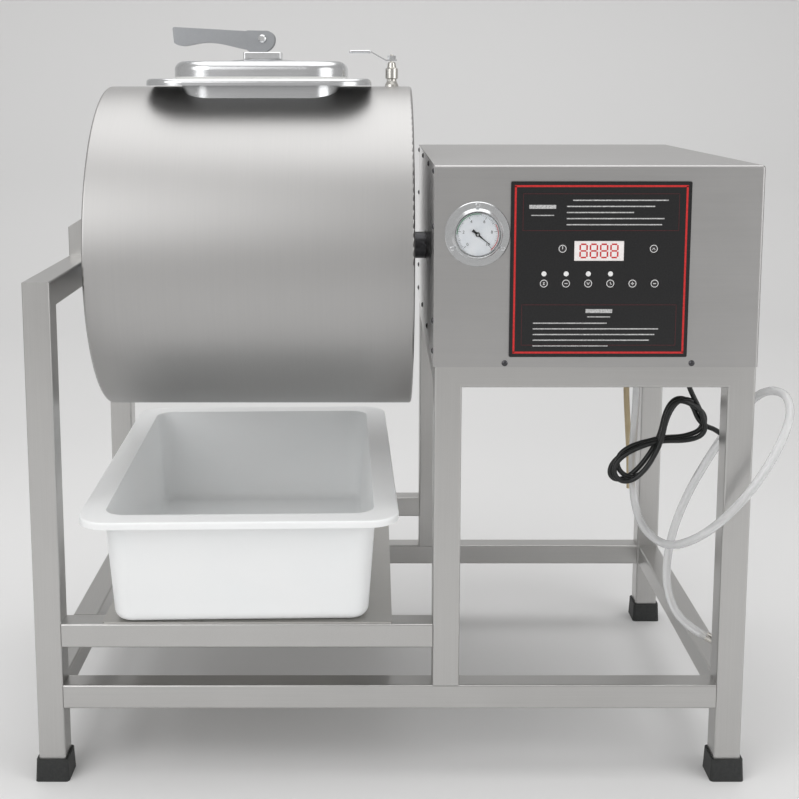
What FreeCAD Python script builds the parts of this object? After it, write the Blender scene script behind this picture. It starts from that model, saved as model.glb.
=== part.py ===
# A vacuum tumbler for marinating meat: a steel drum that turns about a level axis on a frame of
# square stainless tube, with a lidded mouth, a machine box for the drive and the pump, and a
# plastic basin on a shelf below. Millimetres, +Z up, +X towards the machine box, -Y to the front.
# The origin is on the floor, under the middle of the machine's outline.
import FreeCAD, Part
import math
import os

V = FreeCAD.Vector

# Frame of square tube
frame_width = 1000.0
frame_depth = 600.0
drum_side_height = 720.0
box_side_height = 612.0
middle_leg_offset = 560.0
tube = 38.0
tube_wall = 1.5
rail = 35.0
rail_wall = 1.5
tube_corner = 3.0
bottom_rail_top = 143.0
shelf_rail_top = 234.0
shelf_rail_inset = 9.0
foot_height = 32.0
foot_wall = 5.0
foot_floor = 6.0

# Shelf plate and basin
shelf_plate_left = 95.0
shelf_plate_length = 408.0
shelf_plate_thickness = 1.5
shelf_plate_setback = 3.0
basin_overhang = 40.0
basin_length = 640.0
basin_width = 443.0
basin_height = 161.0
basin_left = 62.0
basin_wall = 3.0
basin_rim = 31.0
basin_lip = 10.0
basin_draft = 11.5
basin_rim_corner = 44.0
basin_corner = 32.0
basin_foot_round = 16.0
basin_turn = 1.5

# Drum
shaft_rise = 122.0
drum_radius = 247.5
drum_length = 465.0
drum_left = 70.0
drum_wall = 2.0
drum_knuckle = 3.5
vane_height = 55.0
vane_thickness = 2.5
vane_lean = 15.0
vane_end_gap = 8.0
left_shaft_radius = 15.0
right_shaft_radius = 21.0
drive_shaft_radius = 12.5
suction_bore_radius = 6.0
hub_radius = 50.0
hub_thickness = 6.0

# Mouth and lid, placed from the middle of the drum's length
mouth_offset = 4.0
mouth_length = 236.0
mouth_width = 176.0
mouth_corner = 45.0
neck_wall = 2.0
flange_length = 334.0
flange_width = 284.0
flange_corner = 60.0
flange_wall = 2.5
flange_lip = 10.0
flange_rise = 259.0
gasket_thickness = 3.0
gasket_width = 14.0
lid_length = 260.0
lid_width = 204.0
lid_corner = 58.0
lid_height = 23.0
lid_wall = 2.0
lid_round = 13.0
lid_boss_radius = 62.0
lid_boss_rise = 5.0
clamp_seat_length = 58.0
clamp_seat_width = 44.0
clamp_seat_thickness = 10.0
lever_pivot_height = 20.5
lever_cam_radius = 20.2
lever_cam_throw = 1.5
lever_head_top = 12.0
lever_head_width = 30.0
lever_grip_width = 22.0
lever_reach = 138.0
lever_slot = 10.2
stud_radius = 5.0
stud_eye_radius = 8.0
clamp_bar_length = 200.0
clamp_bar_width = 30.0
clamp_bar_thickness = 10.0
clamp_bar_drop = 40.0
pivot_pin_radius = 4.0

# Vent valve on the drum
valve_offset = 435.0
valve_body_radius = 9.8
valve_height = 37.0
valve_ball_radius = 6.5
valve_stem_radius = 2.5
valve_port_radius = 3.0
valve_outlet_bore = 4.0
valve_outlet_length = 28.0
valve_outlet_seat = 8.0
valve_lever_length = 64.0

# Left bearing
bearing_post_rise = 30.0

# Machine box
box_height = 266.0
box_sheet = 1.2
box_lip = 9.0
box_bend = 4.0
box_return = 14.0
base_sheet = 2.0
shaft_hole_clearance = 5.0
louvre_count = 8
louvre_length = 90.0
louvre_height = 5.0
louvre_pitch = 16.0

# Drive and pump inside the box
gearbox_width = 104.0
gearbox_half_depth = 62.0
gearbox_below_shaft = 66.0
gearbox_above_shaft = 112.0
gearbox_cover_radius = 50.0
gearbox_cover_step = 8.0
gearbox_foot_reach = 72.0
gearbox_foot_height = 8.0
motor_rise = 56.0
motor_radius = 56.0
motor_length = 150.0
motor_fin_count = 9
pump_inset = 72.0
pump_back_offset = 60.0
pump_rise = 78.0
pump_barrel_radius = 46.0
pump_barrel_length = 150.0
pump_head_spacing = 184.0
pump_head_half_width = 48.0
pump_plate_half_width = 60.0
pump_plate_half_length = 115.0
pump_foot_height = 18.0
pump_foot_radius = 9.0

# Gauge
gauge_rise = 173.5
gauge_flange_radius = 44.0
gauge_flange_thickness = 2.5
gauge_bezel_radius = 33.5
gauge_bezel_depth = 7.0
gauge_case_radius = 30.5
gauge_case_depth = 32.0
gauge_dial_radius = 29.5
gauge_screw_circle = 40.0
needle_angle = -40.0
needle_length = 22.0

# Control panel
panel_left = 661.0
panel_rise = 5.5
panel_width = 242.0
panel_height = 239.0
panel_thickness = 2.0
display_left = 747.0
display_rise = 137.5
display_width = 67.0
display_height = 27.0
key_radius = 6.2
key_thickness = 1.6
key_proud = 0.3
key_row_left = 706.8
key_pitch = 29.9
key_row_rise = 106.7
start_key_rise = 154.0
power_key_x = 731.2
start_key_x = 853.8

# Fits
running_fit = 0.05
slip_gap = 0.3

# Places worked out from the sizes
left_x = -frame_width / 2
right_x = frame_width / 2
middle_x = left_x + middle_leg_offset
machine_depth = basin_overhang + frame_depth + foot_wall
front_y = basin_overhang - machine_depth / 2
back_y = front_y + frame_depth
axis_y = (front_y + back_y) / 2
axis_z = box_side_height + shaft_rise
drum_x0 = left_x + drum_left
drum_x1 = drum_x0 + drum_length
mouth_x = (drum_x0 + drum_x1) / 2 + mouth_offset
flange_top = axis_z + flange_rise
lid_base_z = flange_top + gasket_thickness
lid_top = lid_base_z + lid_height
seat_z = lid_top + lid_boss_rise - 0.5
seat_top = seat_z + clamp_seat_thickness
pivot_z = seat_top + lever_pivot_height
cover_left = middle_x - box_sheet - slip_gap
cover_right = right_x + box_sheet + slip_gap
cover_front = front_y - box_sheet - slip_gap
cover_back = back_y + box_sheet + slip_gap
cover_top = box_side_height + box_height
cover_bottom = box_side_height - box_lip
base_top = box_side_height + base_sheet
shelf_top = shelf_rail_top + shelf_plate_thickness
gauge_z = box_side_height + gauge_rise
panel_bottom = box_side_height + panel_rise
display_bottom = box_side_height + display_rise
key_row_height = box_side_height + key_row_rise
start_key_height = box_side_height + start_key_rise

os.makedirs("parts", exist_ok=True)


def save(name, *solids):
    """Write one node, as one solid or as a group of separate solids."""
    shape = solids[0] if len(solids) == 1 else Part.makeCompound(list(solids))
    shape.exportStep("parts/" + name + ".step")


def block(x0, x1, y0, y1, z0, z1):
    return Part.makeBox(x1 - x0, y1 - y0, z1 - z0, V(x0, y0, z0))


def rod(radius, length, start, direction=V(0, 0, 1)):
    return Part.makeCylinder(radius, length, start, direction)


def turned(solid, axis, angle, centre=V(0, 0, 0)):
    copy = solid.copy()
    copy.rotate(centre, axis, angle)
    return copy


def moved(solid, x=0.0, y=0.0, z=0.0):
    copy = solid.copy()
    copy.translate(V(x, y, z))
    return copy


def rounded_rectangle(length, width, corner, z=0.0):
    """A closed wire round the origin, with quarter-circle corners."""
    a = length / 2
    b = width / 2
    r = min(corner, a - 0.01, b - 0.01)
    c = r * (1 - math.sqrt(0.5))
    edges = []
    for sx, sy in ((1, 1), (-1, 1), (-1, -1), (1, -1)):
        ends = [V(sx * a, sy * (b - r), z), V(sx * (a - r), sy * b, z)]
        if sx * sy < 0:
            ends.reverse()
        edges.append(Part.Arc(ends[0], V(sx * (a - c), sy * (b - c), z), ends[1]).toShape())
    wires = []
    for i, edge in enumerate(edges):
        wires.append(edge)
        following = edges[(i + 1) % 4]
        wires.append(Part.LineSegment(edge.Vertexes[-1].Point, following.Vertexes[0].Point).toShape())
    return Part.Wire(wires)


def slab(length, width, corner, z0, z1):
    """A plate with rounded corners, centred on the Z axis."""
    face = Part.Face(rounded_rectangle(length, width, corner, z0))
    return face.extrude(V(0, 0, z1 - z0))


def profile(points):
    """A face in the XZ plane from (x, z) corners."""
    return Part.Face(Part.makePolygon([V(x, 0, z) for x, z in points + points[:1]]))


def revolved(points, start, direction):
    """A solid of revolution: (distance along the axis, radius) corners, turned about direction."""
    face = Part.Face(Part.makePolygon([V(r, 0, s) for s, r in points + points[:1]]))
    solid = face.revolve(V(0, 0, 0), V(0, 0, 1), 360)
    solid.Placement = FreeCAD.Placement(start, FreeCAD.Rotation(V(0, 0, 1), direction))
    return solid


def cut_past(solid, point, normal):
    """Take away what lies beyond a plane."""
    size = 3000.0
    cutter = Part.makeBox(size, size, size, V(-size / 2, -size / 2, 0))
    cutter.Placement = FreeCAD.Placement(point, FreeCAD.Rotation(V(0, 0, 1), normal))
    return solid.cut(cutter)


def square_tube(size, wall, start, length, direction):
    """A hollow square tube on a centre line, with the rounded edges of drawn stainless tube."""
    outer = slab(size, size, tube_corner, 0, length)
    inner = slab(size - 2 * wall, size - 2 * wall, tube_corner - wall, 0, length)
    solid = outer.cut(inner)
    solid.Placement = FreeCAD.Placement(start, FreeCAD.Rotation(V(0, 0, 1), direction))
    return solid


def edges_on(solid, test):
    """The edges whose every vertex passes the test."""
    return [e for e in solid.Edges if all(test(v.Point) for v in e.Vertexes)]


# ---------------------------------------------------------------- frame
X = V(1, 0, 0)
Y = V(0, 1, 0)
Z = V(0, 0, 1)
half = tube / 2
leg_x = {"left": left_x + half, "middle": middle_x + half, "right": right_x - half}
leg_rows = ((front_y + half, 1), (back_y - half, -1))


def left_legs():
    """Two legs mitred into the crossbar that runs front to back above them."""
    legs = []
    for y, inward in leg_rows:
        leg = square_tube(tube, tube_wall, V(leg_x["left"], y, foot_floor),
                          drum_side_height - foot_floor, Z)
        corner = V(0, y - inward * half, drum_side_height)
        legs.append(cut_past(leg, corner, V(0, inward, 1)))
    return legs


def box_side_legs(side, bottom):
    """A front and a back leg mitred into the rails that run along the box's front and back."""
    inward = 1 if side == "middle" else -1
    legs = []
    for y, _ in leg_rows:
        leg = square_tube(tube, tube_wall, V(leg_x[side], y, bottom), box_side_height - bottom, Z)
        corner = V(leg_x[side] - inward * half, 0, box_side_height)
        legs.append(cut_past(leg, corner, V(inward, 0, 1)))
    return legs


def left_crossbar():
    bar = square_tube(tube, tube_wall, V(leg_x["left"], front_y, drum_side_height - half),
                      frame_depth, Y)
    bar = cut_past(bar, V(0, front_y, drum_side_height), V(0, -1, -1))
    return cut_past(bar, V(0, back_y, drum_side_height), V(0, 1, -1))


def long_top_rails():
    rails = []
    for y, _ in leg_rows:
        bar = square_tube(tube, tube_wall, V(middle_x, y, box_side_height - half),
                          right_x - middle_x, X)
        bar = cut_past(bar, V(middle_x, 0, box_side_height), V(-1, 0, -1))
        rails.append(cut_past(bar, V(right_x, 0, box_side_height), V(1, 0, -1)))
    return rails


def side_rails(size, wall, top, centres, start_y, end_y):
    return [square_tube(size, wall, V(x, start_y, top - size / 2), end_y - start_y, Y)
            for x in centres]


def long_rails(size, wall, top, start_x, end_x):
    return [square_tube(size, wall, V(start_x, y, top - size / 2), end_x - start_x, X)
            for y in (front_y + size / 2, back_y - size / 2)]


def rubber_feet():
    """Four caps pushed over the ends of the outer legs, wider than the tube and drafted."""
    feet = []
    outer = tube + 2 * foot_wall
    for x in (leg_x["left"], leg_x["right"]):
        for y, _ in leg_rows:
            base = rounded_rectangle(outer, outer, tube_corner + 2, 0)
            top = rounded_rectangle(outer - 3, outer - 3, tube_corner + 2, foot_height)
            cap = Part.makeLoft([base, top], True, True)
            socket = slab(tube + 2 * running_fit, tube + 2 * running_fit, tube_corner,
                          foot_floor, foot_height + 1)
            feet.append(moved(cap.cut(socket), x, y))
    return feet


save("legs_left", *left_legs())
save("legs_middle", *box_side_legs("middle", bottom_rail_top))
save("legs_right", *box_side_legs("right", foot_floor))
save("left_crossbar", left_crossbar())
save("top_rails_long", *long_top_rails())
save("top_rails_side", *side_rails(tube, tube_wall, box_side_height,
                                   (leg_x["middle"], leg_x["right"]), front_y + tube, back_y - tube))
save("bottom_rails_long", *long_rails(rail, rail_wall, bottom_rail_top, left_x + tube, right_x - tube))
save("bottom_rails_side", *side_rails(rail, rail_wall, bottom_rail_top,
                                      (left_x + rail / 2, right_x - rail / 2),
                                      front_y + tube, back_y - tube))
plate_x0 = left_x + shelf_plate_left
plate_x1 = plate_x0 + shelf_plate_length
shelf_sides = (left_x + tube + shelf_rail_inset + rail / 2, plate_x1 - rail / 2)
save("shelf_rails", *(long_rails(rail, rail_wall, shelf_rail_top, left_x + tube, middle_x)
                      + side_rails(rail, rail_wall, shelf_rail_top, shelf_sides,
                                   front_y + rail, back_y - rail)))
save("rubber_feet", *rubber_feet())

# ---------------------------------------------------------------- shelf plate and basin
plate = slab(shelf_plate_length, frame_depth - 2 * shelf_plate_setback, 4, shelf_rail_top, shelf_top)
save("shelf_plate", moved(plate, (plate_x0 + plate_x1) / 2, axis_y))

basin_base = shelf_top + slip_gap
basin_x = left_x + basin_left + basin_width / 2
basin_y = front_y - basin_overhang + basin_length / 2


def basin_body(inset, floor):
    """The drafted tub, inset from its outer face, from a height above its base up to its rim."""
    top_length = basin_width - 2 * basin_rim - 2 * inset
    top_width = basin_length - 2 * basin_rim - 2 * inset
    rise = (basin_height - floor) / basin_height
    foot_inset = 2 * basin_draft * rise
    corner = basin_corner - inset
    sections = [rounded_rectangle(top_length - foot_inset, top_width - foot_inset,
                                  corner * 0.8, floor),
                rounded_rectangle(top_length, top_width, corner, basin_height)]
    return Part.makeLoft(sections, True, True)


def basin():
    """A moulded tub with a rounded foot, a flat rim and a lip turned down all round it."""
    outer = basin_body(0, 0)
    foot = edges_on(outer, lambda p: p.z < 0.01)
    outer = outer.makeFillet(basin_foot_round, foot)
    inner = basin_body(basin_wall, basin_wall)
    inner_foot = edges_on(inner, lambda p: p.z < basin_wall + 0.01)
    inner = inner.makeFillet(basin_foot_round - basin_wall, inner_foot)
    tub = outer.cut(inner)
    rim = slab(basin_width, basin_length, basin_rim_corner, basin_height - basin_lip, basin_height)
    rim = rim.makeFillet(2.5, edges_on(rim, lambda p: p.z > basin_height - 0.01))
    rim = rim.cut(slab(basin_width - 2 * basin_wall, basin_length - 2 * basin_wall,
                       basin_rim_corner - basin_wall, 0, basin_height - basin_wall))
    mouth = basin_body(basin_wall, basin_wall)
    rim = rim.cut(mouth)
    tub = turned(tub.fuse(rim).removeSplitter(), Z, basin_turn)
    return moved(tub, basin_x, basin_y, basin_base)


save("basin", basin())

# ---------------------------------------------------------------- drum
barrel_x0 = drum_x0 + drum_knuckle
barrel_x1 = drum_x1 - drum_knuckle
inner_radius = drum_radius - drum_wall
neck_length = mouth_length + 2 * neck_wall
neck_width = mouth_width + 2 * neck_wall
neck_corner = mouth_corner + neck_wall
weld_gap = 0.1


def drum_shell():
    """The rolled barrel, with the mouth's outline and the vent's hole cut through its top."""
    start = V(barrel_x0, axis_y, axis_z)
    barrel = rod(drum_radius, barrel_x1 - barrel_x0, start, X)
    barrel = barrel.cut(rod(inner_radius, barrel_x1 - barrel_x0, start, X))
    opening = slab(neck_length + 2 * weld_gap, neck_width + 2 * weld_gap, neck_corner + weld_gap,
                   axis_z, flange_top)
    vent = rod(valve_port_radius, drum_radius * 2, V(drum_x0 + valve_offset, axis_y, axis_z))
    return barrel.cut(moved(opening, mouth_x, axis_y)).cut(vent)


def drum_end():
    """A flat end pressed with a rounded knuckle, its outer face at s = 0."""
    k = drum_knuckle
    w = drum_wall
    c = k * (1 - math.sqrt(0.5))
    outer = [V(0, 0, 0), V(drum_radius - k, 0, 0), V(drum_radius, 0, k)]
    ki = k - w
    ci = ki * (1 - math.sqrt(0.5))
    edges = [
        Part.LineSegment(outer[0], outer[1]).toShape(),
        Part.Arc(outer[1], V(drum_radius - c, 0, c), outer[2]).toShape(),
        Part.LineSegment(outer[2], V(inner_radius, 0, k)).toShape(),
        Part.Arc(V(inner_radius, 0, k), V(inner_radius - ci, 0, w + ci),
                 V(inner_radius - ki, 0, w)).toShape(),
        Part.LineSegment(V(inner_radius - ki, 0, w), V(0, 0, w)).toShape(),
        Part.LineSegment(V(0, 0, w), outer[0]).toShape(),
    ]
    face = Part.Face(Part.Wire(edges))
    return face.revolve(V(0, 0, 0), Z, 360)


def drum_ends():
    left = drum_end()
    left.Placement = FreeCAD.Placement(V(drum_x0, axis_y, axis_z), FreeCAD.Rotation(Z, X))
    right = drum_end()
    right.Placement = FreeCAD.Placement(V(drum_x1, axis_y, axis_z), FreeCAD.Rotation(Z, V(-1, 0, 0)))
    suction = rod(suction_bore_radius, drum_wall * 4, V(drum_x1 - 2 * drum_wall, axis_y, axis_z), X)
    return left, right.cut(suction)


def drum_vanes():
    """Three folded mixing vanes along the barrel, a third of a turn apart, clear of the mouth."""
    vanes = []
    length = barrel_x1 - barrel_x0 - 2 * vane_end_gap
    root = inner_radius - 0.4
    for angle in (60, 180, 300):
        vane = block(barrel_x0 + vane_end_gap, barrel_x0 + vane_end_gap + length,
                     axis_y - vane_thickness / 2, axis_y + vane_thickness / 2,
                     axis_z + root - vane_height, axis_z + root)
        fold = block(barrel_x0 + vane_end_gap, barrel_x0 + vane_end_gap + length,
                     axis_y - vane_thickness / 2, axis_y + vane_lean,
                     axis_z + root - vane_height, axis_z + root - vane_height + vane_thickness)
        vane = vane.fuse(fold).removeSplitter()
        vanes.append(turned(vane, X, angle, V(0, axis_y, axis_z)))
    return vanes


def mouth_frame():
    """The neck of the mouth and its pressed flange, welded into one piece."""
    neck_height = flange_top - axis_z
    neck = slab(neck_length, neck_width, neck_corner, axis_z, flange_top - flange_wall / 2)
    flange = slab(flange_length, flange_width, flange_corner, flange_top - flange_lip, flange_top)
    flange = flange.makeFillet(6.0, edges_on(flange, lambda p: p.z > flange_top - 0.01))
    flange = flange.cut(slab(flange_length - 2 * flange_wall, flange_width - 2 * flange_wall,
                             flange_corner - flange_wall, flange_top - flange_lip - 1,
                             flange_top - flange_wall))
    body = flange.fuse(neck).cut(slab(mouth_length, mouth_width, mouth_corner,
                                      axis_z - 1, axis_z + neck_height + 1))
    body = moved(body, mouth_x, axis_y)
    body = body.cut(rod(inner_radius, drum_length, V(drum_x0, axis_y, axis_z), X))
    return body.removeSplitter()


left_bearing_end = left_x + tube + 22.0
left_shaft_start = left_x + tube + 5.0
stand_x0 = middle_x + 26.0
stand_width = 34.0
gearbox_x0 = stand_x0 + stand_width + 14.0
shaft_end = gearbox_x0 + gearbox_width + 18.0
journal_end = stand_x0 + stand_width + 5.0


def left_shaft():
    """The idle journal, with the hub plate that is welded to the drum's end."""
    h = drum_x0 - hub_thickness
    points = [(left_shaft_start, 0), (drum_x0, 0), (drum_x0, hub_radius - 2), (h + 3, hub_radius - 2),
              (h, hub_radius - 5), (h, left_shaft_radius), (left_shaft_start + 1.5, left_shaft_radius),
              (left_shaft_start, left_shaft_radius - 1.5)]
    return revolved([(s - drum_x0, r) for s, r in points], V(drum_x0, axis_y, axis_z), X)


def right_shaft():
    """The driven journal: hollow, so that the pump draws air through it, and stepped for the gearbox."""
    h = hub_thickness
    big = journal_end - drum_x1
    end = shaft_end - drum_x1
    points = [(0, suction_bore_radius), (0, hub_radius), (h - 3, hub_radius), (h, hub_radius - 3),
              (h, right_shaft_radius), (big - 1.5, right_shaft_radius), (big, right_shaft_radius - 1.5),
              (big, drive_shaft_radius), (end - 1, drive_shaft_radius), (end, drive_shaft_radius - 1),
              (end, suction_bore_radius)]
    return revolved(points, V(drum_x1, axis_y, axis_z), X)


save("drum_shell", drum_shell())
save("drum_ends", *drum_ends())
save("drum_vanes", *drum_vanes())
save("mouth_frame", mouth_frame())
save("drum_shaft_left", left_shaft())
save("drum_shaft_right", right_shaft())

# ---------------------------------------------------------------- lid, clamp and cam lever


def lid_gasket():
    ring = slab(lid_length, lid_width, lid_corner, flange_top, lid_base_z)
    ring = ring.cut(slab(lid_length - 2 * gasket_width, lid_width - 2 * gasket_width,
                         lid_corner - gasket_width, flange_top - 1, lid_base_z + 1))
    return moved(ring, mouth_x, axis_y)


def lid_cover():
    """A deep-drawn cover with a large shoulder round and a shallow dome under the clamp."""
    outer = slab(lid_length, lid_width, lid_corner, lid_base_z, lid_top)
    outer = outer.makeFillet(lid_round, edges_on(outer, lambda p: p.z > lid_top - 0.01))
    inner = slab(lid_length - 2 * lid_wall, lid_width - 2 * lid_wall, lid_corner - lid_wall,
                 lid_base_z - 1, lid_top - lid_wall)
    inner = inner.makeFillet(lid_round - lid_wall,
                             edges_on(inner, lambda p: p.z > lid_top - lid_wall - 0.01))
    dome_radius = (lid_boss_radius ** 2 + lid_boss_rise ** 2) / (2 * lid_boss_rise)
    dome = Part.makeSphere(dome_radius, V(0, 0, lid_top + lid_boss_rise - dome_radius))
    dome = dome.common(rod(lid_boss_radius + 1, lid_height, V(0, 0, lid_top - lid_wall)))
    hollow = Part.makeSphere(dome_radius - lid_wall, V(0, 0, lid_top + lid_boss_rise - dome_radius))
    hollow = hollow.common(rod(lid_boss_radius, lid_height, V(0, 0, lid_top - lid_wall - 1)))
    shell = outer.fuse(dome).cut(inner).cut(hollow)
    shell = shell.cut(rod(stud_radius + 0.5, 200, V(0, 0, lid_base_z)))
    shell = shell.cut(clamp_seat_blank(1.0))
    return moved(shell, mouth_x, axis_y)


def clamp_seat_blank(extra):
    """The clamp seat's block, centred on the Z axis, drafted down onto the dome."""
    return slab(clamp_seat_length, clamp_seat_width, 3.0, seat_z, seat_top + extra)


def lid_clamp_seat():
    """The hard block that the cam bears on, with a running hole for the stud."""
    seat = clamp_seat_blank(0.0)
    seat = seat.makeChamfer(1.0, edges_on(seat, lambda p: p.z > seat_top - 0.01))
    seat = seat.cut(rod(stud_radius + running_fit, 60, V(0, 0, seat_z - 20)))
    return moved(seat, mouth_x, axis_y)


def clamp_stud():
    """A rod with a flat eye for the lever's pin, and a nut head below the bar."""
    bottom = flange_top - clamp_bar_drop - clamp_bar_thickness
    stem = rod(stud_radius, pivot_z - 5 - bottom, V(0, 0, bottom))
    eye = rod(stud_eye_radius, 8.0, V(0, -4.0, pivot_z), Y)
    web = block(-stud_radius, stud_radius, -4.0, 4.0, seat_top + 2, pivot_z)
    head = Part.Face(Part.makePolygon([
        V(9.5 * math.cos(math.radians(a)), 9.5 * math.sin(math.radians(a)), bottom - 7)
        for a in range(0, 361, 60)])).extrude(V(0, 0, 7))
    body = stem.fuse([eye, web, head]).cut(rod(pivot_pin_radius + running_fit, 20, V(0, -10, pivot_z), Y))
    return moved(body.removeSplitter(), mouth_x, axis_y)


def clamp_bar():
    """The bar that turns crosswise under the neck, with bevelled ends and a hub for the stud."""
    top = flange_top - clamp_bar_drop
    bottom = top - clamp_bar_thickness
    bar = slab(clamp_bar_length, clamp_bar_width, clamp_bar_width / 2, bottom, top)
    bar = bar.makeChamfer(2.0, edges_on(bar, lambda p: p.z < bottom + 0.01))
    hub = rod(11.0, 8.0, V(0, 0, top))
    bar = bar.fuse(hub).cut(rod(stud_radius + running_fit, 60, V(0, 0, bottom - 20)))
    return moved(bar, mouth_x, axis_y)


def pivot_pin():
    """A shoulder pin with domed heads outside the lever's cheeks."""
    w = lever_head_width / 2
    gap = running_fit
    points = [(-w - 4.5, 0), (w + 4.5, 0), (w + 4.5, 4.0), (w + 3.0, 6.0), (w + gap, 6.5),
              (w + gap, pivot_pin_radius), (-w - gap, pivot_pin_radius), (-w - gap, 6.5),
              (-w - 3.0, 6.0), (-w - 4.5, 4.0)]
    return revolved(points, V(mouth_x, axis_y, pivot_z), Y)


def cam_lever():
    """A cast lever: a cam head in two cheeks astride the stud's eye, and a waisted grip."""
    r = lever_cam_radius
    t = lever_head_top
    nose = r - lever_cam_throw
    mid = (r + nose) / 2 * math.sqrt(0.5)
    left = -r - 3.5
    head_edges = [
        Part.LineSegment(V(left, 0, t + 0.5), V(7, 0, t)).toShape(),
        Part.Arc(V(7, 0, t), V(14.8, 0, 8.4), V(nose, 0, 0)).toShape(),
        Part.Arc(V(nose, 0, 0), V(mid, 0, -mid), V(0, 0, -r)).toShape(),
        Part.LineSegment(V(0, 0, -r), V(left + 4, 0, -r)).toShape(),
        Part.LineSegment(V(left + 4, 0, -r), V(left, 0, -r + 3)).toShape(),
        Part.LineSegment(V(left, 0, -r + 3), V(left, 0, t + 0.5)).toShape(),
    ]
    half_head = lever_head_width / 2
    head = moved(Part.Face(Part.Wire(head_edges)).extrude(V(0, lever_head_width, 0)), y=-half_head)
    reach = lever_reach
    underside = Part.BSplineCurve()
    underside.interpolate([V(left + 1, 0, -r + 3.5), V(left - 20, 0, -12.5), V(left - 42, 0, -7.5),
                           V(left - 78, 0, -7.5), V(-reach + 8, 0, -9.5), V(-reach + 2, 0, -6.0)])
    grip_edges = [
        underside.toShape(),
        Part.LineSegment(V(-reach + 2, 0, -6.0), V(-reach, 0, t + 6)).toShape(),
        Part.LineSegment(V(-reach, 0, t + 6), V(left + 1, 0, t - 0.5)).toShape(),
        Part.LineSegment(V(left + 1, 0, t - 0.5), V(left + 1, 0, -r + 3.5)).toShape(),
    ]
    half_grip = lever_grip_width / 2
    grip = moved(Part.Face(Part.Wire(grip_edges)).extrude(V(0, lever_grip_width, 0)), y=-half_grip)
    grip = grip.makeFillet(3.0, edges_on(grip, lambda p: p.x < left and p.z > 0))
    lever = head.fuse(grip)
    lever = lever.cut(block(-10, 30, -lever_slot / 2, lever_slot / 2, -30, 8.6))
    lever = lever.cut(rod(pivot_pin_radius + running_fit, 60, V(0, -30, 0), Y))
    return moved(lever.removeSplitter(), mouth_x, axis_y, pivot_z)


save("lid_gasket", lid_gasket())
save("lid_cover", lid_cover())
save("lid_clamp_seat", lid_clamp_seat())
save("clamp_stud", clamp_stud())
save("clamp_bar", clamp_bar())
save("lever_pin", pivot_pin())
save("cam_lever", cam_lever())

# ---------------------------------------------------------------- vent valve
valve_x = drum_x0 + valve_offset
valve_z0 = axis_z + drum_radius
ball_z = valve_z0 + 20.0
valve_top = valve_z0 + valve_height


def valve_body():
    """A small angle cock: a flared foot welded to the drum, a side outlet and a gland for the stem."""
    b = valve_body_radius
    foot = axis_z + math.sqrt(drum_radius ** 2 - 11.0 ** 2) - axis_z - drum_radius
    points = [(foot, 0), (foot, 11.0), (3.0, 10.0), (8.0, 7.5), (11.0, 7.5), (12.5, b), (27.0, b),
              (29.0, 7.0), (valve_height - 1, 6.0), (valve_height, 5.0), (valve_height, 0)]
    body = revolved(points, V(valve_x, axis_y, valve_z0), Z)
    end = valve_outlet_length
    outlet = revolved([(0, 0), (0, 6.0), (end - 11, 6.0), (end - 11, 5.0), (end - 8, 6.2), (end - 6, 5.0),
                       (end - 3, 6.0), (end, 5.0), (end, 0)], V(valve_x, axis_y, ball_z), Y)
    body = body.fuse(outlet)
    chamber = Part.makeSphere(valve_ball_radius + running_fit, V(valve_x, axis_y, ball_z))
    port = rod(valve_port_radius, 60, V(valve_x, axis_y, valve_z0 - 40))
    port = port.common(rod(30, ball_z - valve_z0 + 40, V(valve_x, axis_y, valve_z0 - 40)))
    side_port = rod(valve_port_radius, 60, V(valve_x, axis_y, ball_z), Y)
    outlet_bore = rod(valve_outlet_bore, 60, V(valve_x, axis_y + valve_outlet_seat, ball_z), Y)
    barrel = rod(drum_radius, drum_length, V(drum_x0, axis_y, axis_z), X)
    stem_way = rod(valve_stem_radius + running_fit, 60, V(valve_x, axis_y, ball_z))
    return body.cut(chamber).cut(port).cut(side_port).cut(outlet_bore).cut(stem_way).cut(barrel)


def valve_ball():
    """The ball with its L-shaped port, and the stem that the lever turns."""
    centre = V(valve_x, axis_y, ball_z)
    ball = Part.makeSphere(valve_ball_radius, centre)
    ball = ball.cut(rod(valve_port_radius, 40, V(valve_x, axis_y, ball_z - 40)))
    ball = ball.cut(rod(valve_port_radius, 40, V(valve_x, axis_y, ball_z), X))
    stem = rod(valve_stem_radius, valve_top + 12 - ball_z - 3.5, V(valve_x, axis_y, ball_z + 3.5))
    return ball.fuse(stem)


def valve_lever():
    """A cranked strip lever with its dipped grip, and the nut that holds it on the stem."""
    z0 = valve_top + 2.0
    s = 2.0
    path = [(8, 0), (-9, 0), (-32, 13), (-valve_lever_length, 13)]
    upper = [(x, z + s) for x, z in path]
    strip = profile(path + upper[::-1]).extrude(V(0, 9, 0))
    strip = moved(strip, valve_x, axis_y - 4.5, z0)
    grip = block(valve_x - valve_lever_length - 1.5, valve_x - 32, axis_y - 6, axis_y + 6,
                 z0 + 11.5, z0 + 16.5)
    grip = grip.makeFillet(2.0, grip.Edges)
    nut = Part.Face(Part.makePolygon([
        V(valve_x + 6.3 * math.cos(math.radians(a)), axis_y + 6.3 * math.sin(math.radians(a)), z0 + s)
        for a in range(0, 361, 60)])).extrude(V(0, 0, 6.0))
    lever = strip.fuse([grip, nut])
    return lever.cut(rod(valve_stem_radius + running_fit, 60, V(valve_x, axis_y, valve_z0)))


save("valve_body", valve_body())
save("valve_ball", valve_ball())
save("valve_lever", valve_lever())

# ---------------------------------------------------------------- bearings
bearing_x = left_x + tube


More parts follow.
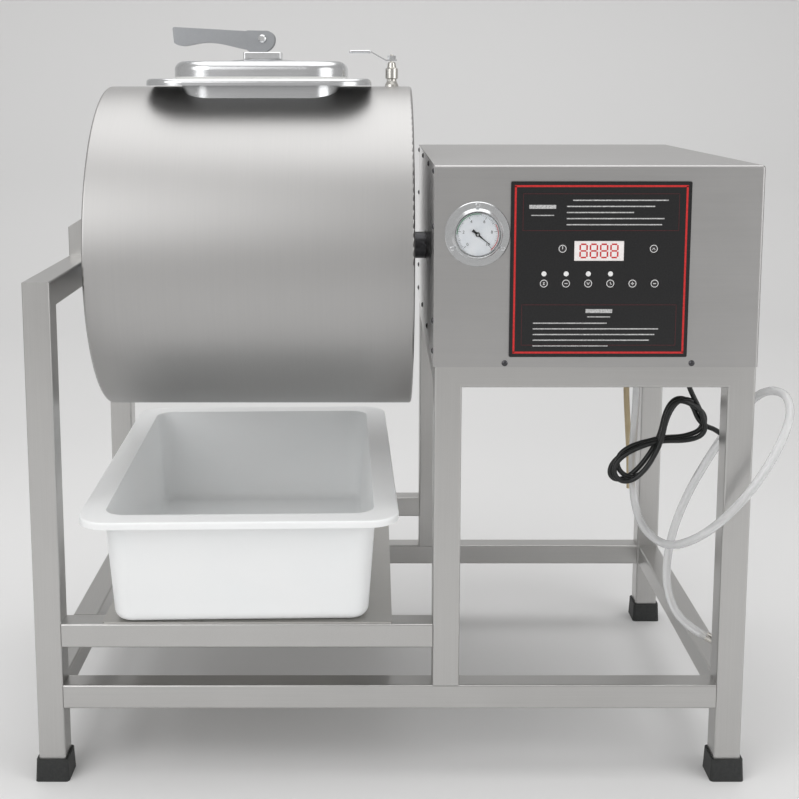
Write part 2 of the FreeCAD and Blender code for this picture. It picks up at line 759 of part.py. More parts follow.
def bearing_post():
    """A stub of the same tube on the crossbar, its top cut on a slope and closed by a plate."""
    low = max(tube, axis_z - drum_side_height + bearing_post_rise)
    slope = 0.62
    tall = low + slope * tube
    post = slab(tube, tube, tube_corner, 0, tall)
    cap = 3.0
    hollow = slab(tube - 2 * tube_wall, tube - 2 * tube_wall, tube_corner - tube_wall, -1, tall)
    hollow = cut_past(hollow, V(-half, 0, low - cap), V(-slope, 0, 1))
    post = cut_past(post.cut(hollow), V(-half, 0, low), V(-slope, 0, 1))
    return moved(post, leg_x["left"], axis_y, drum_side_height)


bearing_plate_thickness = 5.0
bearing_plate_width = 84.0
bearing_bolt_reach = 45.0
bolt_radius = 5.0


def left_bearing_plate():
    plate = block(bearing_x, bearing_x + bearing_plate_thickness,
                  axis_y - bearing_plate_width / 2, axis_y + bearing_plate_width / 2,
                  drum_side_height - tube + 2, axis_z + 60)
    corners = [e for e in plate.Edges if abs(e.tangentAt(e.FirstParameter).x) > 0.9]
    return plate.makeFillet(8.0, corners)


def left_bearing_housing():
    """A two-bolt flanged bearing: an oval base and a turned boss, bored for the journal."""
    s0 = bearing_x + bearing_plate_thickness
    base = 9.0
    lug = rod(14.0, base, V(s0, axis_y, axis_z - bearing_bolt_reach), X)
    lug2 = rod(14.0, base, V(s0, axis_y, axis_z + bearing_bolt_reach), X)
    middle = rod(32.0, base, V(s0, axis_y, axis_z), X)
    web = block(s0, s0 + base, axis_y - 20, axis_y + 20,
                axis_z - bearing_bolt_reach + 4, axis_z + bearing_bolt_reach - 4)
    boss = revolved([(0, 0), (0, 30), (base, 29), (left_bearing_end - s0, 24),
                     (left_bearing_end - s0, 0)], V(s0, axis_y, axis_z), X)
    body = lug.fuse([lug2, middle, web, boss])
    bore = rod(left_shaft_radius + running_fit, 60, V(s0 - 5, axis_y, axis_z), X)
    return body.cut(bore).removeSplitter()


def right_bearing_stand():
    """A cast plummer block on a tall foot, bolted down inside the box."""
    foot_half = 66.0
    foot = 10.0
    ring = 36.0
    height = axis_z - base_top
    outline = [(-foot_half, 0), (foot_half, 0), (foot_half, foot), (42, foot), (36, foot + 6),
               (ring - 4, height - 10), (-ring + 4, height - 10), (-36, foot + 6), (-42, foot),
               (-foot_half, foot)]
    wire = Part.makePolygon([V(0, y, z) for y, z in outline + outline[:1]])
    web = Part.Face(wire).extrude(V(stand_width, 0, 0))
    cap = rod(ring, stand_width, V(0, 0, height), X)
    clear = height - ring - foot
    window = block(-1, stand_width + 1, -18, 18, foot + 0.08 * clear, foot + 0.9 * clear)
    window = window.makeFillet(min(6.0, 0.4 * clear), [e for e in window.Edges
                                                       if abs(e.tangentAt(e.FirstParameter).x) > 0.9])
    bore = rod(right_shaft_radius + running_fit, stand_width + 2, V(-1, 0, height), X)
    body = web.fuse(cap).cut(window).cut(bore)
    return moved(body.removeSplitter(), stand_x0, axis_y, base_top)


def hex_bolt(start, direction, across=17.0, head=6.5, radius=bolt_radius, grip=0.0):
    """A bolt's head, and its shank below it where there is a hole to fill."""
    r = across / math.sqrt(3)
    corners = [V(r * math.cos(math.radians(a)), r * math.sin(math.radians(a)), 0)
               for a in range(0, 361, 60)]
    bolt = Part.Face(Part.makePolygon(corners)).extrude(V(0, 0, head))
    bolt = bolt.common(revolved([(0, 0), (0, r + 1), (head * 0.6, r + 1), (head, r - 2), (head, 0)],
                                V(0, 0, 0), Z))
    if grip:
        bolt = bolt.fuse(rod(radius, grip, V(0, 0, -grip)))
    bolt.Placement = FreeCAD.Placement(start, FreeCAD.Rotation(Z, direction))
    return bolt


def bearing_bolts():
    face = bearing_x + bearing_plate_thickness + 9.0
    bolts = [hex_bolt(V(face, axis_y, axis_z + s * bearing_bolt_reach), X) for s in (1, -1)]
    for s in (1, -1):
        bolts.append(hex_bolt(V(stand_x0 + stand_width / 2, axis_y + s * 54.0, base_top + 10.0), Z))
    return bolts


save("bearing_post", bearing_post())
save("left_bearing_plate", left_bearing_plate())
save("left_bearing_housing", left_bearing_housing())
save("right_bearing_stand", right_bearing_stand())
save("bearing_bolts", *bearing_bolts())

# ---------------------------------------------------------------- machine box
gauge_x = left_x + panel_left - gauge_flange_radius - slip_gap
gauge_at = V(gauge_x, cover_front, gauge_z)
hole_clearance = 0.5


def box_cover():
    """Front, top, right and back in folded sheet, with returns for the left panel's screws."""
    outer = block(cover_left, cover_right, cover_front, cover_back, cover_bottom, cover_top)
    bends = [e for e in outer.Edges
             if (abs(e.tangentAt(e.FirstParameter).z) > 0.9 and e.CenterOfMass.x > cover_right - 1)
             or (abs(e.tangentAt(e.FirstParameter).z) < 0.1 and e.CenterOfMass.z > cover_top - 1
                 and e.CenterOfMass.x > cover_left + 1)]
    outer = outer.makeFillet(box_bend, bends)
    s = box_sheet
    inner = block(cover_left - 1, cover_right - s, cover_front + s, cover_back - s,
                  cover_bottom - 1, cover_top - s)
    inner_bends = [e for e in inner.Edges
                   if (abs(e.tangentAt(e.FirstParameter).z) > 0.9
                       and e.CenterOfMass.x > cover_right - s - 1)
                   or (abs(e.tangentAt(e.FirstParameter).z) < 0.1
                       and e.CenterOfMass.z > cover_top - s - 1 and e.CenterOfMass.x > cover_left)]
    cover = outer.cut(inner.makeFillet(box_bend - s, inner_bends))
    r0 = cover_left + s + slip_gap
    frame = block(r0, r0 + s, cover_front + s, cover_back - s, base_top + slip_gap, cover_top - s)
    frame = frame.cut(block(r0 - 1, r0 + s + 1, cover_front + s + box_return,
                            cover_back - s - box_return, base_top - 1, cover_top - s - box_return))
    cover = cover.fuse(frame)
    cover = cover.cut(rod(gauge_case_radius + hole_clearance, 20, gauge_at + V(0, -5, 0), Y))
    for side in (-1, 1):
        for i in range(louvre_count):
            x = (middle_x + right_x) / 2 + side * louvre_length * 0.75 - louvre_length / 2
            z = base_top + 60 + i * louvre_pitch
            slot = block(x, x + louvre_length, cover_back - 5, cover_back + 5, z, z + louvre_height)
            cover = cover.cut(slot)
    return cover


def box_left_panel():
    """The closing panel on the drum's side, set inside the cover's edges."""
    s = box_sheet
    panel = block(cover_left, cover_left + s, cover_front + s + slip_gap, cover_back - s - slip_gap,
                  cover_bottom + slip_gap, cover_top - s - slip_gap)
    corners = [e for e in panel.Edges
               if abs(e.tangentAt(e.FirstParameter).x) > 0.9 and e.CenterOfMass.z > axis_z]
    panel = panel.makeFillet(box_bend - box_sheet, corners)
    hole = rod(right_shaft_radius + shaft_hole_clearance, 20, V(cover_left - 5, axis_y, axis_z), X)
    return panel.cut(hole)


outlets = {"cord": (right_x - 58.0, front_y + 150.0, 6.0),
           "hose": (right_x - 127.0, front_y + 172.0, 8.0),
           "tube": (right_x - 138.0, front_y + 202.5, 6.0)}


def box_base():
    """The floor of the machine box, laid on the frame, with a turned-up edge behind the panel."""
    x0 = cover_left + 2 * box_sheet + 2 * slip_gap
    x1 = cover_right - box_sheet - slip_gap
    y0 = cover_front + box_sheet + slip_gap
    y1 = cover_back - box_sheet - slip_gap
    base = block(x0, x1, y0, y1, box_side_height, base_top)
    corners = [e for e in base.Edges
               if abs(e.tangentAt(e.FirstParameter).z) > 0.9 and e.CenterOfMass.x > x1 - 1]
    base = base.makeFillet(box_bend - box_sheet, corners)
    for x, y, radius in outlets.values():
        base = base.cut(rod(radius + running_fit, 20, V(x, y, box_side_height - 5)))
    return base


def cover_screws():
    """Pan-head screws: dark ones round the left panel and bright ones along the cover's lip."""
    screws = []
    head = [(0, 0), (0, 4.2), (1.0, 3.9), (2.2, 2.2), (2.4, 0)]
    depth = frame_depth
    top = cover_top - box_sheet - slip_gap - 7
    low = base_top + 8
    places = [(f * depth, top) for f in (0.03, 0.3, 0.66, 0.97)]
    places += [(f * depth, low) for f in (0.03, 0.34, 0.66, 0.97)]
    places += [(0.03 * depth, z) for z in (axis_z + 60, axis_z - 70)]
    places += [(0.97 * depth, z) for z in (axis_z + 60, axis_z - 70)]
    for y, z in places:
        screws.append(revolved(head, V(cover_left, front_y + y, z), V(-1, 0, 0)))
    for x in (left_x + panel_left - 5.3, left_x + panel_left + panel_width + 7.5):
        screws.append(revolved(head, V(x, cover_front, box_side_height - 3.5), V(0, -1, 0)))
    return screws


save("box_cover", box_cover())
save("box_left_panel", box_left_panel())
save("box_base", box_base())
save("box_screws", *cover_screws())

# ---------------------------------------------------------------- drive and pump
motor_z = axis_z + motor_rise
motor_face = axis_y + gearbox_half_depth + 22.0


def gearbox():
    """A worm gearbox on the drum's shaft: square case, round covers, ribs and a foot each side."""
    x0 = gearbox_x0
    x1 = x0 + gearbox_width
    step = gearbox_cover_step
    depth = gearbox_half_depth
    cover_radius = gearbox_cover_radius
    case = block(x0 + step, x1 - step, axis_y - depth, axis_y + depth,
                 axis_z - gearbox_below_shaft, axis_z + gearbox_above_shaft)
    case = case.makeFillet(10.0, [e for e in case.Edges if abs(e.tangentAt(e.FirstParameter).x) > 0.9])
    cover = revolved([(0, 0), (0, cover_radius - 6), (step, cover_radius),
                      (gearbox_width - step, cover_radius), (gearbox_width, cover_radius - 6),
                      (gearbox_width, 0)], V(x0, axis_y, axis_z), X)
    face = depth - 2
    throat = motor_face - axis_y - face
    adaptor = revolved([(0, 0), (0, motor_radius - 6), (throat - 10, motor_radius - 6),
                        (throat - 6, motor_radius - 2), (throat, motor_radius - 2), (throat, 0)],
                       V((x0 + x1) / 2, axis_y + face, motor_z), Y)
    tread_top = base_top + gearbox_foot_height
    tread = block(x0 + step, x1 - step, axis_y - gearbox_foot_reach, axis_y + gearbox_foot_reach,
                  base_top, tread_top)
    feet = [block(x0 + step + 6, x1 - step - 6, axis_y + s * (depth - 12) - 12,
                  axis_y + s * (depth - 12) + 12, base_top, axis_z - gearbox_below_shaft + 6)
            for s in (-1, 1)]
    ribs = [block(x0 + 2, x1 - 2, axis_y - depth - 2, axis_y + depth + 2,
                  axis_z + depth - 2 + i * 14, axis_z + depth + 1 + i * 14) for i in range(3)]
    body = case.fuse([cover, adaptor, tread] + feet + ribs)
    bore = rod(drive_shaft_radius + running_fit, 2 * gearbox_width, V(x0 - 10, axis_y, axis_z), X)
    return body.cut(bore)


def drive_motor():
    """A finned motor on the gearbox's worm, with a fan cowl and a terminal box."""
    x = gearbox_x0 + gearbox_width / 2
    y0 = motor_face
    r = motor_radius
    length = motor_length
    points = [(0, 0), (0, r - 2), (8, r - 2)]
    pitch = (length - 60) / motor_fin_count
    for i in range(motor_fin_count):
        s = 8 + i * pitch
        points += [(s, r - 6), (s + pitch * 0.55, r - 6), (s + pitch * 0.55, r - 1), (s + pitch, r - 1)]
    points += [(length - 52, r - 6), (length - 46, r - 6), (length - 46, r), (length - 6, r),
               (length, r - 6), (length, 0)]
    body = revolved(points, V(x, y0, motor_z), Y)
    terminal = block(x + r - 14, x + r + 22, y0 + 25, y0 + 85, motor_z - 26, motor_z + 26)
    return body.fuse(terminal)


def vacuum_pump():
    """A twin-head oil-free pump: motor barrel, two heads, and a foot plate with rubber-sized feet."""
    x = right_x - pump_inset
    y = axis_y + pump_back_offset
    z = base_top + pump_rise
    half = pump_head_half_width
    barrel = rod(pump_barrel_radius, pump_barrel_length, V(x, y - pump_barrel_length / 2, z), Y)
    body = barrel
    for s in (-1, 1):
        middle = y + s * pump_head_spacing / 2
        end = block(x - half, x + half, middle - 20, middle + 20,
                    z - pump_barrel_radius - 4, z + pump_barrel_radius + 12)
        end = end.makeFillet(6.0, [e for e in end.Edges if abs(e.tangentAt(e.FirstParameter).y) > 0.9])
        head = block(x - half + 8, x + half - 8, middle - 16, middle + 16,
                     z + pump_barrel_radius + 12, z + pump_barrel_radius + 38)
        body = body.fuse([end, head])
    long = pump_plate_half_length
    wide = pump_plate_half_width
    plate = block(x - wide, x + wide, y - long, y + long,
                  base_top + pump_foot_height - 2, base_top + pump_foot_height + 2)
    web = block(x - wide / 2, x + wide / 2, y - long / 2, y + long / 2,
                base_top + pump_foot_height, z - pump_barrel_radius * 0.65)
    feet = [rod(pump_foot_radius, pump_foot_height, V(x + a * (wide - 12), y + b * (long - 15), base_top))
            for a in (-1, 1) for b in (-1, 1)]
    return body.fuse([plate, web] + feet).removeSplitter()


save("gearbox", gearbox())
save("drive_motor", drive_motor())
save("vacuum_pump", vacuum_pump())

# ---------------------------------------------------------------- vacuum gauge
bezel_front = cover_front - gauge_flange_thickness - gauge_bezel_depth
dial_depth = 6.0


def gauge_case():
    """Case, mounting flange and bezel in one turned shell, open at the front over its dial."""
    t = gauge_flange_thickness
    b = t + gauge_bezel_depth
    dial = b - dial_depth
    points = [(-gauge_case_depth, 0), (-gauge_case_depth, gauge_case_radius - 3),
              (-gauge_case_depth + 3, gauge_case_radius), (0, gauge_case_radius),
              (0, gauge_flange_radius), (t - 1, gauge_flange_radius), (t, gauge_flange_radius - 1),
              (t, gauge_bezel_radius + 1.5), (t + 1.5, gauge_bezel_radius),
              (b - 1.5, gauge_bezel_radius), (b, gauge_bezel_radius - 1.5),
              (b, gauge_dial_radius + 1.5), (b - 1.5, gauge_dial_radius),
              (dial, gauge_dial_radius), (dial, 0)]
    case = revolved(points, gauge_at, V(0, -1, 0))
    spigot = rod(1.5, 3.0, gauge_at + V(0, -dial, 0), V(0, -1, 0))
    return case.fuse(spigot)


def gauge_lens():
    t = gauge_flange_thickness + gauge_bezel_depth
    at = gauge_at + V(0, -(t - 1.6), 0)
    return rod(gauge_dial_radius - running_fit, 1.4, at, V(0, -1, 0))


def gauge_needle():
    """A tapered pointer with a broad tail, on a hub that turns on the case's spigot."""
    dial = gauge_flange_thickness + gauge_bezel_depth - dial_depth
    points = [(-9, -2.2), (-3, -1.2), (needle_length, -0.25), (needle_length, 0.25), (-3, 1.2), (-9, 2.2)]
    blade = profile(points).extrude(V(0, -0.6, 0))
    hub = rod(3.0, 1.6, V(0, 0.5, 0), V(0, -1, 0))
    needle = blade.fuse(hub).cut(rod(1.5 + running_fit, 6, V(0, 3, 0), V(0, -1, 0)))
    needle = turned(needle, Y, -needle_angle)
    return moved(needle, gauge_at.x, gauge_at.y - dial - 1.6, gauge_at.z)


save("gauge_case", gauge_case())
save("gauge_lens", gauge_lens())
save("gauge_needle", gauge_needle())

# ---------------------------------------------------------------- control panel
panel_x0 = left_x + panel_left
panel_face = cover_front - panel_thickness
keys = {"key_power": (left_x + power_key_x, start_key_height),
        "key_start": (left_x + start_key_x, start_key_height)}
for number, key_name in enumerate(("key_vacuum", "key_tumble", "key_reverse", "key_timer",
                                   "key_plus", "key_minus")):
    keys[key_name] = (left_x + key_row_left + number * key_pitch, key_row_height)


def control_panel():
    plate = block(panel_x0, panel_x0 + panel_width, panel_face, cover_front,
                  panel_bottom, panel_bottom + panel_height)
    plate = plate.makeFillet(2.0, [e for e in plate.Edges if abs(e.tangentAt(e.FirstParameter).y) > 0.9])
    window = block(left_x + display_left, left_x + display_left + display_width,
                   panel_face - 1, cover_front + 1, display_bottom, display_bottom + display_height)
    plate = plate.cut(window)
    for x, z in keys.values():
        plate = plate.cut(rod(key_radius + slip_gap, 10, V(x, panel_face - 2, z), Y))
    return plate


def display():
    g = 0.1
    return block(left_x + display_left + g, left_x + display_left + display_width - g,
                 panel_face + 0.4, cover_front, display_bottom + g, display_bottom + display_height - g)


def key(x, z):
    """A round key with a softly bevelled face, standing a little proud of the panel."""
    front = panel_face - key_proud
    points = [(0, 0), (0, key_radius - 0.4), (0.4, key_radius), (key_thickness, key_radius), (key_thickness, 0)]
    return revolved(points, V(x, front, z), Y)


save("control_panel", control_panel())
save("display_window", display())
for name, (x, z) in keys.items():
    save(name, key(x, z))

# ---------------------------------------------------------------- cord, hoses and their fittings
cord_diameter = 7.5
hose_diameter = 12.0
tube_diameter = 9.0
outlet_drop = 22.0


def routed_tube(points, diameter, label):
    """A round tube along straight runs joined by tangent arcs, as large as the runs allow."""
    pts = [V(*p) for p in points]
    edges = []
    radii = []
    last = pts[0]
    for before, corner, after in zip(pts, pts[1:], pts[2:]):
        a = (before - corner).normalize()
        b = (after - corner).normalize()
        turn = math.pi - a.getAngle(b)
        cut = 0.45 * min((corner - before).Length, (after - corner).Length)
        radius = cut / math.tan(turn / 2)
        radii.append(radius)
        start = corner + a * cut
        end = corner + b * cut
        middle = corner + (a + b).normalize() * (radius / math.cos(turn / 2) - radius)
        edges.append(Part.LineSegment(last, start).toShape())
        edges.append(Part.Arc(start, middle, end).toShape())
        last = end
    edges.append(Part.LineSegment(last, pts[-1]).toShape())
    wire = Part.Wire(edges)
    section = Part.Wire(Part.makeCircle(diameter / 2, pts[0], pts[1] - pts[0]))
    tube_solid = wire.makePipeShell([section], True, False)
    expected = math.pi * diameter ** 2 / 4 * wire.Length
    print(label, "length", round(wire.Length), "least radius", round(min(radii)) if radii else "-",
          "volume ratio", round(tube_solid.Volume / expected, 4))
    return tube_solid


def outlet_fittings():
    """A cable gland and two hose tails, each screwed up into the box's floor."""
    fittings = []
    bores = {"cord": cord_diameter, "hose": hose_diameter, "tube": tube_diameter}
    for name, (x, y, radius) in outlets.items():
        z = box_side_height
        nut = radius + 4.0
        body = revolved([(-outlet_drop, 0), (-outlet_drop, nut - 3), (-12, nut - 1), (-10, nut),
                         (0, nut), (0, radius), (base_sheet + 6, radius), (base_sheet + 6, 0)],
                        V(x, y, z), Z)
        bore = rod(bores[name] / 2, 10, V(x, y, z + base_sheet + 2))
        fittings.append(body.cut(bore))
    return fittings


outlet_z = box_side_height - outlet_drop
cord_x, cord_y, _ = outlets["cord"]
hose_x, hose_y, _ = outlets["hose"]
tube_x, tube_y, _ = outlets["tube"]

# The power cord drops from its gland into a tied hank, and its tail leads on to the plug.
hank_big = (443.0, 497.0, 44.0)
hank_small = (346.0, 413.0, 28.0)
hank_front = -156.0
hank_thickness = 30.0


def cord_hank():
    """The hank's outer shape: two rounded ends and the tangent sides between them."""
    (x1, z1, r1), (x2, z2, r2) = hank_big, hank_small
    span = math.hypot(x2 - x1, z2 - z1)
    along = math.atan2(z2 - z1, x2 - x1)
    lean = math.acos((r1 - r2) / span)
    corners = []
    for x, z, r, sign in ((x1, z1, r1, 1), (x2, z2, r2, 1), (x2, z2, r2, -1), (x1, z1, r1, -1)):
        angle = along + sign * lean
        corners.append(V(x + r * math.cos(angle), hank_front, z + r * math.sin(angle)))
    middle = Part.Face(Part.makePolygon(corners + corners[:1])).extrude(V(0, hank_thickness, 0))
    ends = [rod(r, hank_thickness, V(x, hank_front, z), Y) for x, z, r in (hank_big, hank_small)]
    return middle.fuse(ends).removeSplitter()


hank = cord_hank()
lead = rod(cord_diameter / 2, outlet_z - hank_big[1], V(cord_x, cord_y, hank_big[1])).cut(hank)
tail_route = [(462.0, -137.0, 484.0), (492.0, -141.0, 475.0), (509.0, -152.0, 447.0),
              (509.0, -152.0, 415.0)]
tail = routed_tube(tail_route, cord_diameter, "power cord tail").cut(hank)
plug_at = V(*tail_route[-1])


def power_plug():
    """A moulded plug on the end of the tail, with its sleeve and three flat blades."""
    sleeve = revolved([(0, 0), (0, 5.5), (18, 8.0), (18, 0)], V(0, 0, 0), V(0, 0, -1))
    body = slab(34.0, 26.0, 9.0, -46.0, -17.0)
    body = body.makeFillet(3.0, edges_on(body, lambda p: p.z > -17.01))
    plug = sleeve.fuse(body)
    for x, y, angle in ((-8.0, 2.0, 30), (8.0, 2.0, -30), (0.0, -7.0, 0)):
        blade = block(-0.8, 0.8, -3.2, 3.2, -64.0, -45.0) if angle == 0 else \
            turned(block(-3.2, 3.2, -0.8, 0.8, -64.0, -45.0), Z, angle)
        plug = plug.fuse(moved(blade, x, y))
    return moved(plug, plug_at.x, plug_at.y, plug_at.z)


# The clear hose drops from the box, sweeps forward round the front of the right leg, comes back
# behind it and hangs down to its screwed coupling.
hose_route = [
    (hose_x, hose_y, outlet_z), (373.0, -110.5, 530.0), (371.0, -106.5, 464.0),
    (368.2, -110.5, 399.5), (371.2, -146.5, 336.3), (397.1, -214.5, 320.7),
    (428.0, -278.5, 355.8), (465.4, -308.5, 403.5), (500.6, -316.5, 454.1),
    (528.2, -312.5, 503.2), (548.4, -290.5, 539.2), (551.1, -252.5, 560.8),
    (527.9, -218.5, 555.6), (501.0, -198.5, 514.1), (467.7, -190.5, 456.9),
    (436.2, -185.5, 395.3), (413.7, -184.5, 331.1), (406.0, -188.5, 268.2),
    (414.5, -202.5, 224.7), (438.9, -214.5, 199.0), (460.6, -222.5, 190.3),
]
tube_route = [(tube_x, tube_y, outlet_z), (362.0, -80.0, 533.0), (366.5, -81.0, 466.0),
              (370.0, -83.0, 417.0), (370.5, -86.0, 370.0)]


def hose_coupling():
    """A brass hose tail with a loose hex nut, open at its end."""
    end = V(*hose_route[-1])
    direction = (end - V(*hose_route[-2])).normalize()
    points = [(-8, 4.5), (-8, 3.6), (38, 3.6), (38, 9.0), (36, 10.5), (27, 10.5), (25, 9.0), (18, 8.0),
              (16, 8.0), (12, 7.0), (0, 7.0), (0, 4.5)]
    body = revolved(points, end, direction)
    return body


coupling = hose_coupling()
hose = routed_tube(hose_route, hose_diameter, "clear hose").cut(coupling)
save("outlet_fittings", *outlet_fittings())
save("power_cord", lead, tail)
save("cord_hank", hank)
save("power_plug", power_plug())
save("clear_hose", hose)
save("hose_coupling", coupling)
save("drain_tube", routed_tube(tube_route, tube_diameter, "drain tube"))
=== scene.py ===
import math

import bmesh
import bpy
from mathutils import Matrix, Vector


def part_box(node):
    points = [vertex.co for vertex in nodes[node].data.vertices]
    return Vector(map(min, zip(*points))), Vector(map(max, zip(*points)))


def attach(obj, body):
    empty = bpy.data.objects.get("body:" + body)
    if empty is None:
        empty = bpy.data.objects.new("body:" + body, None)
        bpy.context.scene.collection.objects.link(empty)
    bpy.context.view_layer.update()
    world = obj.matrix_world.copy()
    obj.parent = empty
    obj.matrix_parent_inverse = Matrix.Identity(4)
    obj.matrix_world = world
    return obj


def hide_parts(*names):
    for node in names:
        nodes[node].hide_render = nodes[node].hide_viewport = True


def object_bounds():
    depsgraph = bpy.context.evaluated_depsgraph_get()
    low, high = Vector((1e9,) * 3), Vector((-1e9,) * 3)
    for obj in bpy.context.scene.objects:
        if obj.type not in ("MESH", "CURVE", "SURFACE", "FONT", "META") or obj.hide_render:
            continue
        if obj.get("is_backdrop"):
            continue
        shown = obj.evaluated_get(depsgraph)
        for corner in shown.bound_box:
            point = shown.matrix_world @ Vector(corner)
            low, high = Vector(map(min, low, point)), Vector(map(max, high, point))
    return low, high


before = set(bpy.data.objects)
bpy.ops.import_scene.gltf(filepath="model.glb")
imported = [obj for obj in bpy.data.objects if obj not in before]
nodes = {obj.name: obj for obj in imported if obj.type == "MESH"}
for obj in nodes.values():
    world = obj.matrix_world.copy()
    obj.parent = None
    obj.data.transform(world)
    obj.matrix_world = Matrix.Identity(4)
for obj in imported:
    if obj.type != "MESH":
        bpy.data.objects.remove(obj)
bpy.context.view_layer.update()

# ---------------------------------------------------------------- Studio
# A pale matt floor sweeps up into a pale wall. Three large soft lamps and an even sky light the
# machine, and the camera stands a little right of the drum, just above the lid.
camera = bpy.data.objects.new("camera", bpy.data.cameras.new("camera"))
camera.location = (-0.0222, -2.0288, 0.9855)
camera.rotation_euler = (math.radians(90 - 8.11), 0, 0)
camera.data.lens = 58.86
camera.data.shift_x = 0.0318
camera.data.shift_y = -0.1621
bpy.context.scene.collection.objects.link(camera)
bpy.context.scene.camera = camera
bpy.context.scene.view_settings.view_transform = "Standard"

sweep_line = ((-7, 0), (1.6, 0), (2.6, 0.12), (3.3, 0.6), (3.6, 1.4), (3.6, 6))
floor_mesh = bmesh.new()
profile = [floor_mesh.verts.new((-7, y, z)) for y, z in sweep_line]
edges = [floor_mesh.edges.new(pair) for pair in zip(profile, profile[1:])]
swept = bmesh.ops.extrude_edge_only(floor_mesh, edges=edges)
bmesh.ops.translate(floor_mesh, vec=(14, 0, 0),
                    verts=[v for v in swept["geom"] if isinstance(v, bmesh.types.BMVert)])
bmesh.ops.recalc_face_normals(floor_mesh, faces=floor_mesh.faces)
data = bpy.data.meshes.new("studio_floor")
floor_mesh.to_mesh(data)
floor = bpy.data.objects.new("studio_floor", data)
bpy.context.scene.collection.objects.link(floor)
for face in data.polygons:
    face.use_smooth = True
paper = bpy.data.materials.new("studio paper")
paper.use_nodes = True
paper.node_tree.nodes["Principled BSDF"].inputs["Base Color"].default_value = (0.80, 0.80, 0.80, 1)
paper.node_tree.nodes["Principled BSDF"].inputs["Roughness"].default_value = 0.9
paper.node_tree.nodes["Principled BSDF"].inputs["Specular IOR Level"].default_value = 0.1
data.materials.append(paper)
floor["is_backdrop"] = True

for name, place, size, power in (("key lamp", (-1.9, -2.6, 2.2), 3.0, 44),
                                 ("side lamp", (2.6, -1.8, 1.3), 2.4, 22),
                                 ("top lamp", (0.1, 0.2, 3.0), 3.4, 44)):
    lamp = bpy.data.lights.new(name, "AREA")
    lamp.shape = "DISK"
    lamp.size = size
    lamp.energy = power
    holder = bpy.data.objects.new(name, lamp)
    holder.location = place
    holder.rotation_euler = (Vector((0, 0, 0.55)) - Vector(place)).to_track_quat("-Z", "Y").to_euler()
    bpy.context.scene.collection.objects.link(holder)

sky = bpy.data.worlds.new("studio sky")
sky.use_nodes = True
bpy.context.scene.world = sky
tree = sky.node_tree
tree.nodes.clear()
sky_out = tree.nodes.new("ShaderNodeOutputWorld")
lit = tree.nodes.new("ShaderNodeBackground")
lit.inputs["Color"].default_value = (1.0, 0.99, 0.98, 1)
lit.inputs["Strength"].default_value = 0.5
tree.links.new(lit.outputs[0], sky_out.inputs["Surface"])


def finished(mesh, name, body, materials, smooth=40):
    """Turns a bmesh into a named piece that rides on a body, with faces smoothed up to an angle."""
    data = bpy.data.meshes.new(name)
    mesh.to_mesh(data)
    mesh.free()
    piece = bpy.data.objects.new(name, data)
    bpy.context.scene.collection.objects.link(piece)
    for material in materials if isinstance(materials, (list, tuple)) else [materials]:
        data.materials.append(material)
    if smooth:
        data.shade_smooth()
        data.set_sharp_from_angle(angle=math.radians(smooth))
    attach(piece, body)
    return piece


def finish_node(name, material):
    """Gives a CAD node its material."""
    node = nodes[name]
    node.data.materials.clear()
    node.data.materials.append(material)
    return node


def shader(name):
    """A new material with an empty tree but for the Principled shader and the output."""
    material = bpy.data.materials.new(name)
    material.use_nodes = True
    tree = material.node_tree
    return material, tree, tree.nodes["Principled BSDF"]


# ---------------------------------------------------------------- Power cord
# A round rubber mains cord. It drops from its gland under the box into a hank, wound in a figure
# of eight and held by its own tail, and ends in a moulded plug beside the right front leg.
cord_width = 0.0075
cord_exit = (0.442, -0.1325, 0.590)
hank_cross = Vector((0.4035, 0, 0.4625))
hank_along = Vector((0.756, 0, 0.655))
hank_across = Vector((-0.655, 0, 0.756))
cord_points = [Vector(cord_exit), Vector((0.442, -0.133, 0.568)), Vector((0.440, -0.136, 0.548))]
turns, points_per_turn = 3, 14
for turn in range(turns):
    reach_right = (0.071, 0.077, 0.073)[turn]
    reach_left = (0.088, 0.078, 0.094)[turn]
    width_right = (0.036, 0.031, 0.034)[turn]
    width_left = (0.020, 0.023, 0.017)[turn]
    for step in range(points_per_turn):
        angle = 2 * math.pi * step / points_per_turn + 0.25
        reach = math.cos(angle)
        u = reach * (reach_right if reach > 0 else reach_left)
        v = -math.sin(2 * angle) * (width_right if reach > 0 else width_left)
        depth = -0.150 + 0.0088 * turn + 0.0042 * math.sin(angle)
        point = hank_cross + hank_along * u + hank_across * v
        cord_points.append(Vector((point.x, depth, point.z)))
cord_points += [Vector((0.462, -0.137, 0.484)), Vector((0.492, -0.141, 0.475)), Vector((0.509, -0.152, 0.447)),
                Vector((0.509, -0.152, 0.415))]


def round_line(name, points, width):
    """A round cord or hose: a NURBS line through soft control points, with a bevel for its thickness."""
    curve = bpy.data.curves.new(name, "CURVE")
    curve.dimensions = "3D"
    spline = curve.splines.new("NURBS")
    spline.points.add(len(points) - 1)
    for knot, point in zip(spline.points, points):
        knot.co = (*point, 1)
    spline.order_u = 3
    spline.use_endpoint_u = True
    spline.resolution_u = 10
    curve.bevel_depth = width / 2
    curve.bevel_resolution = 5
    curve.use_fill_caps = True
    piece = bpy.data.objects.new(name, curve)
    bpy.context.scene.collection.objects.link(piece)
    return piece


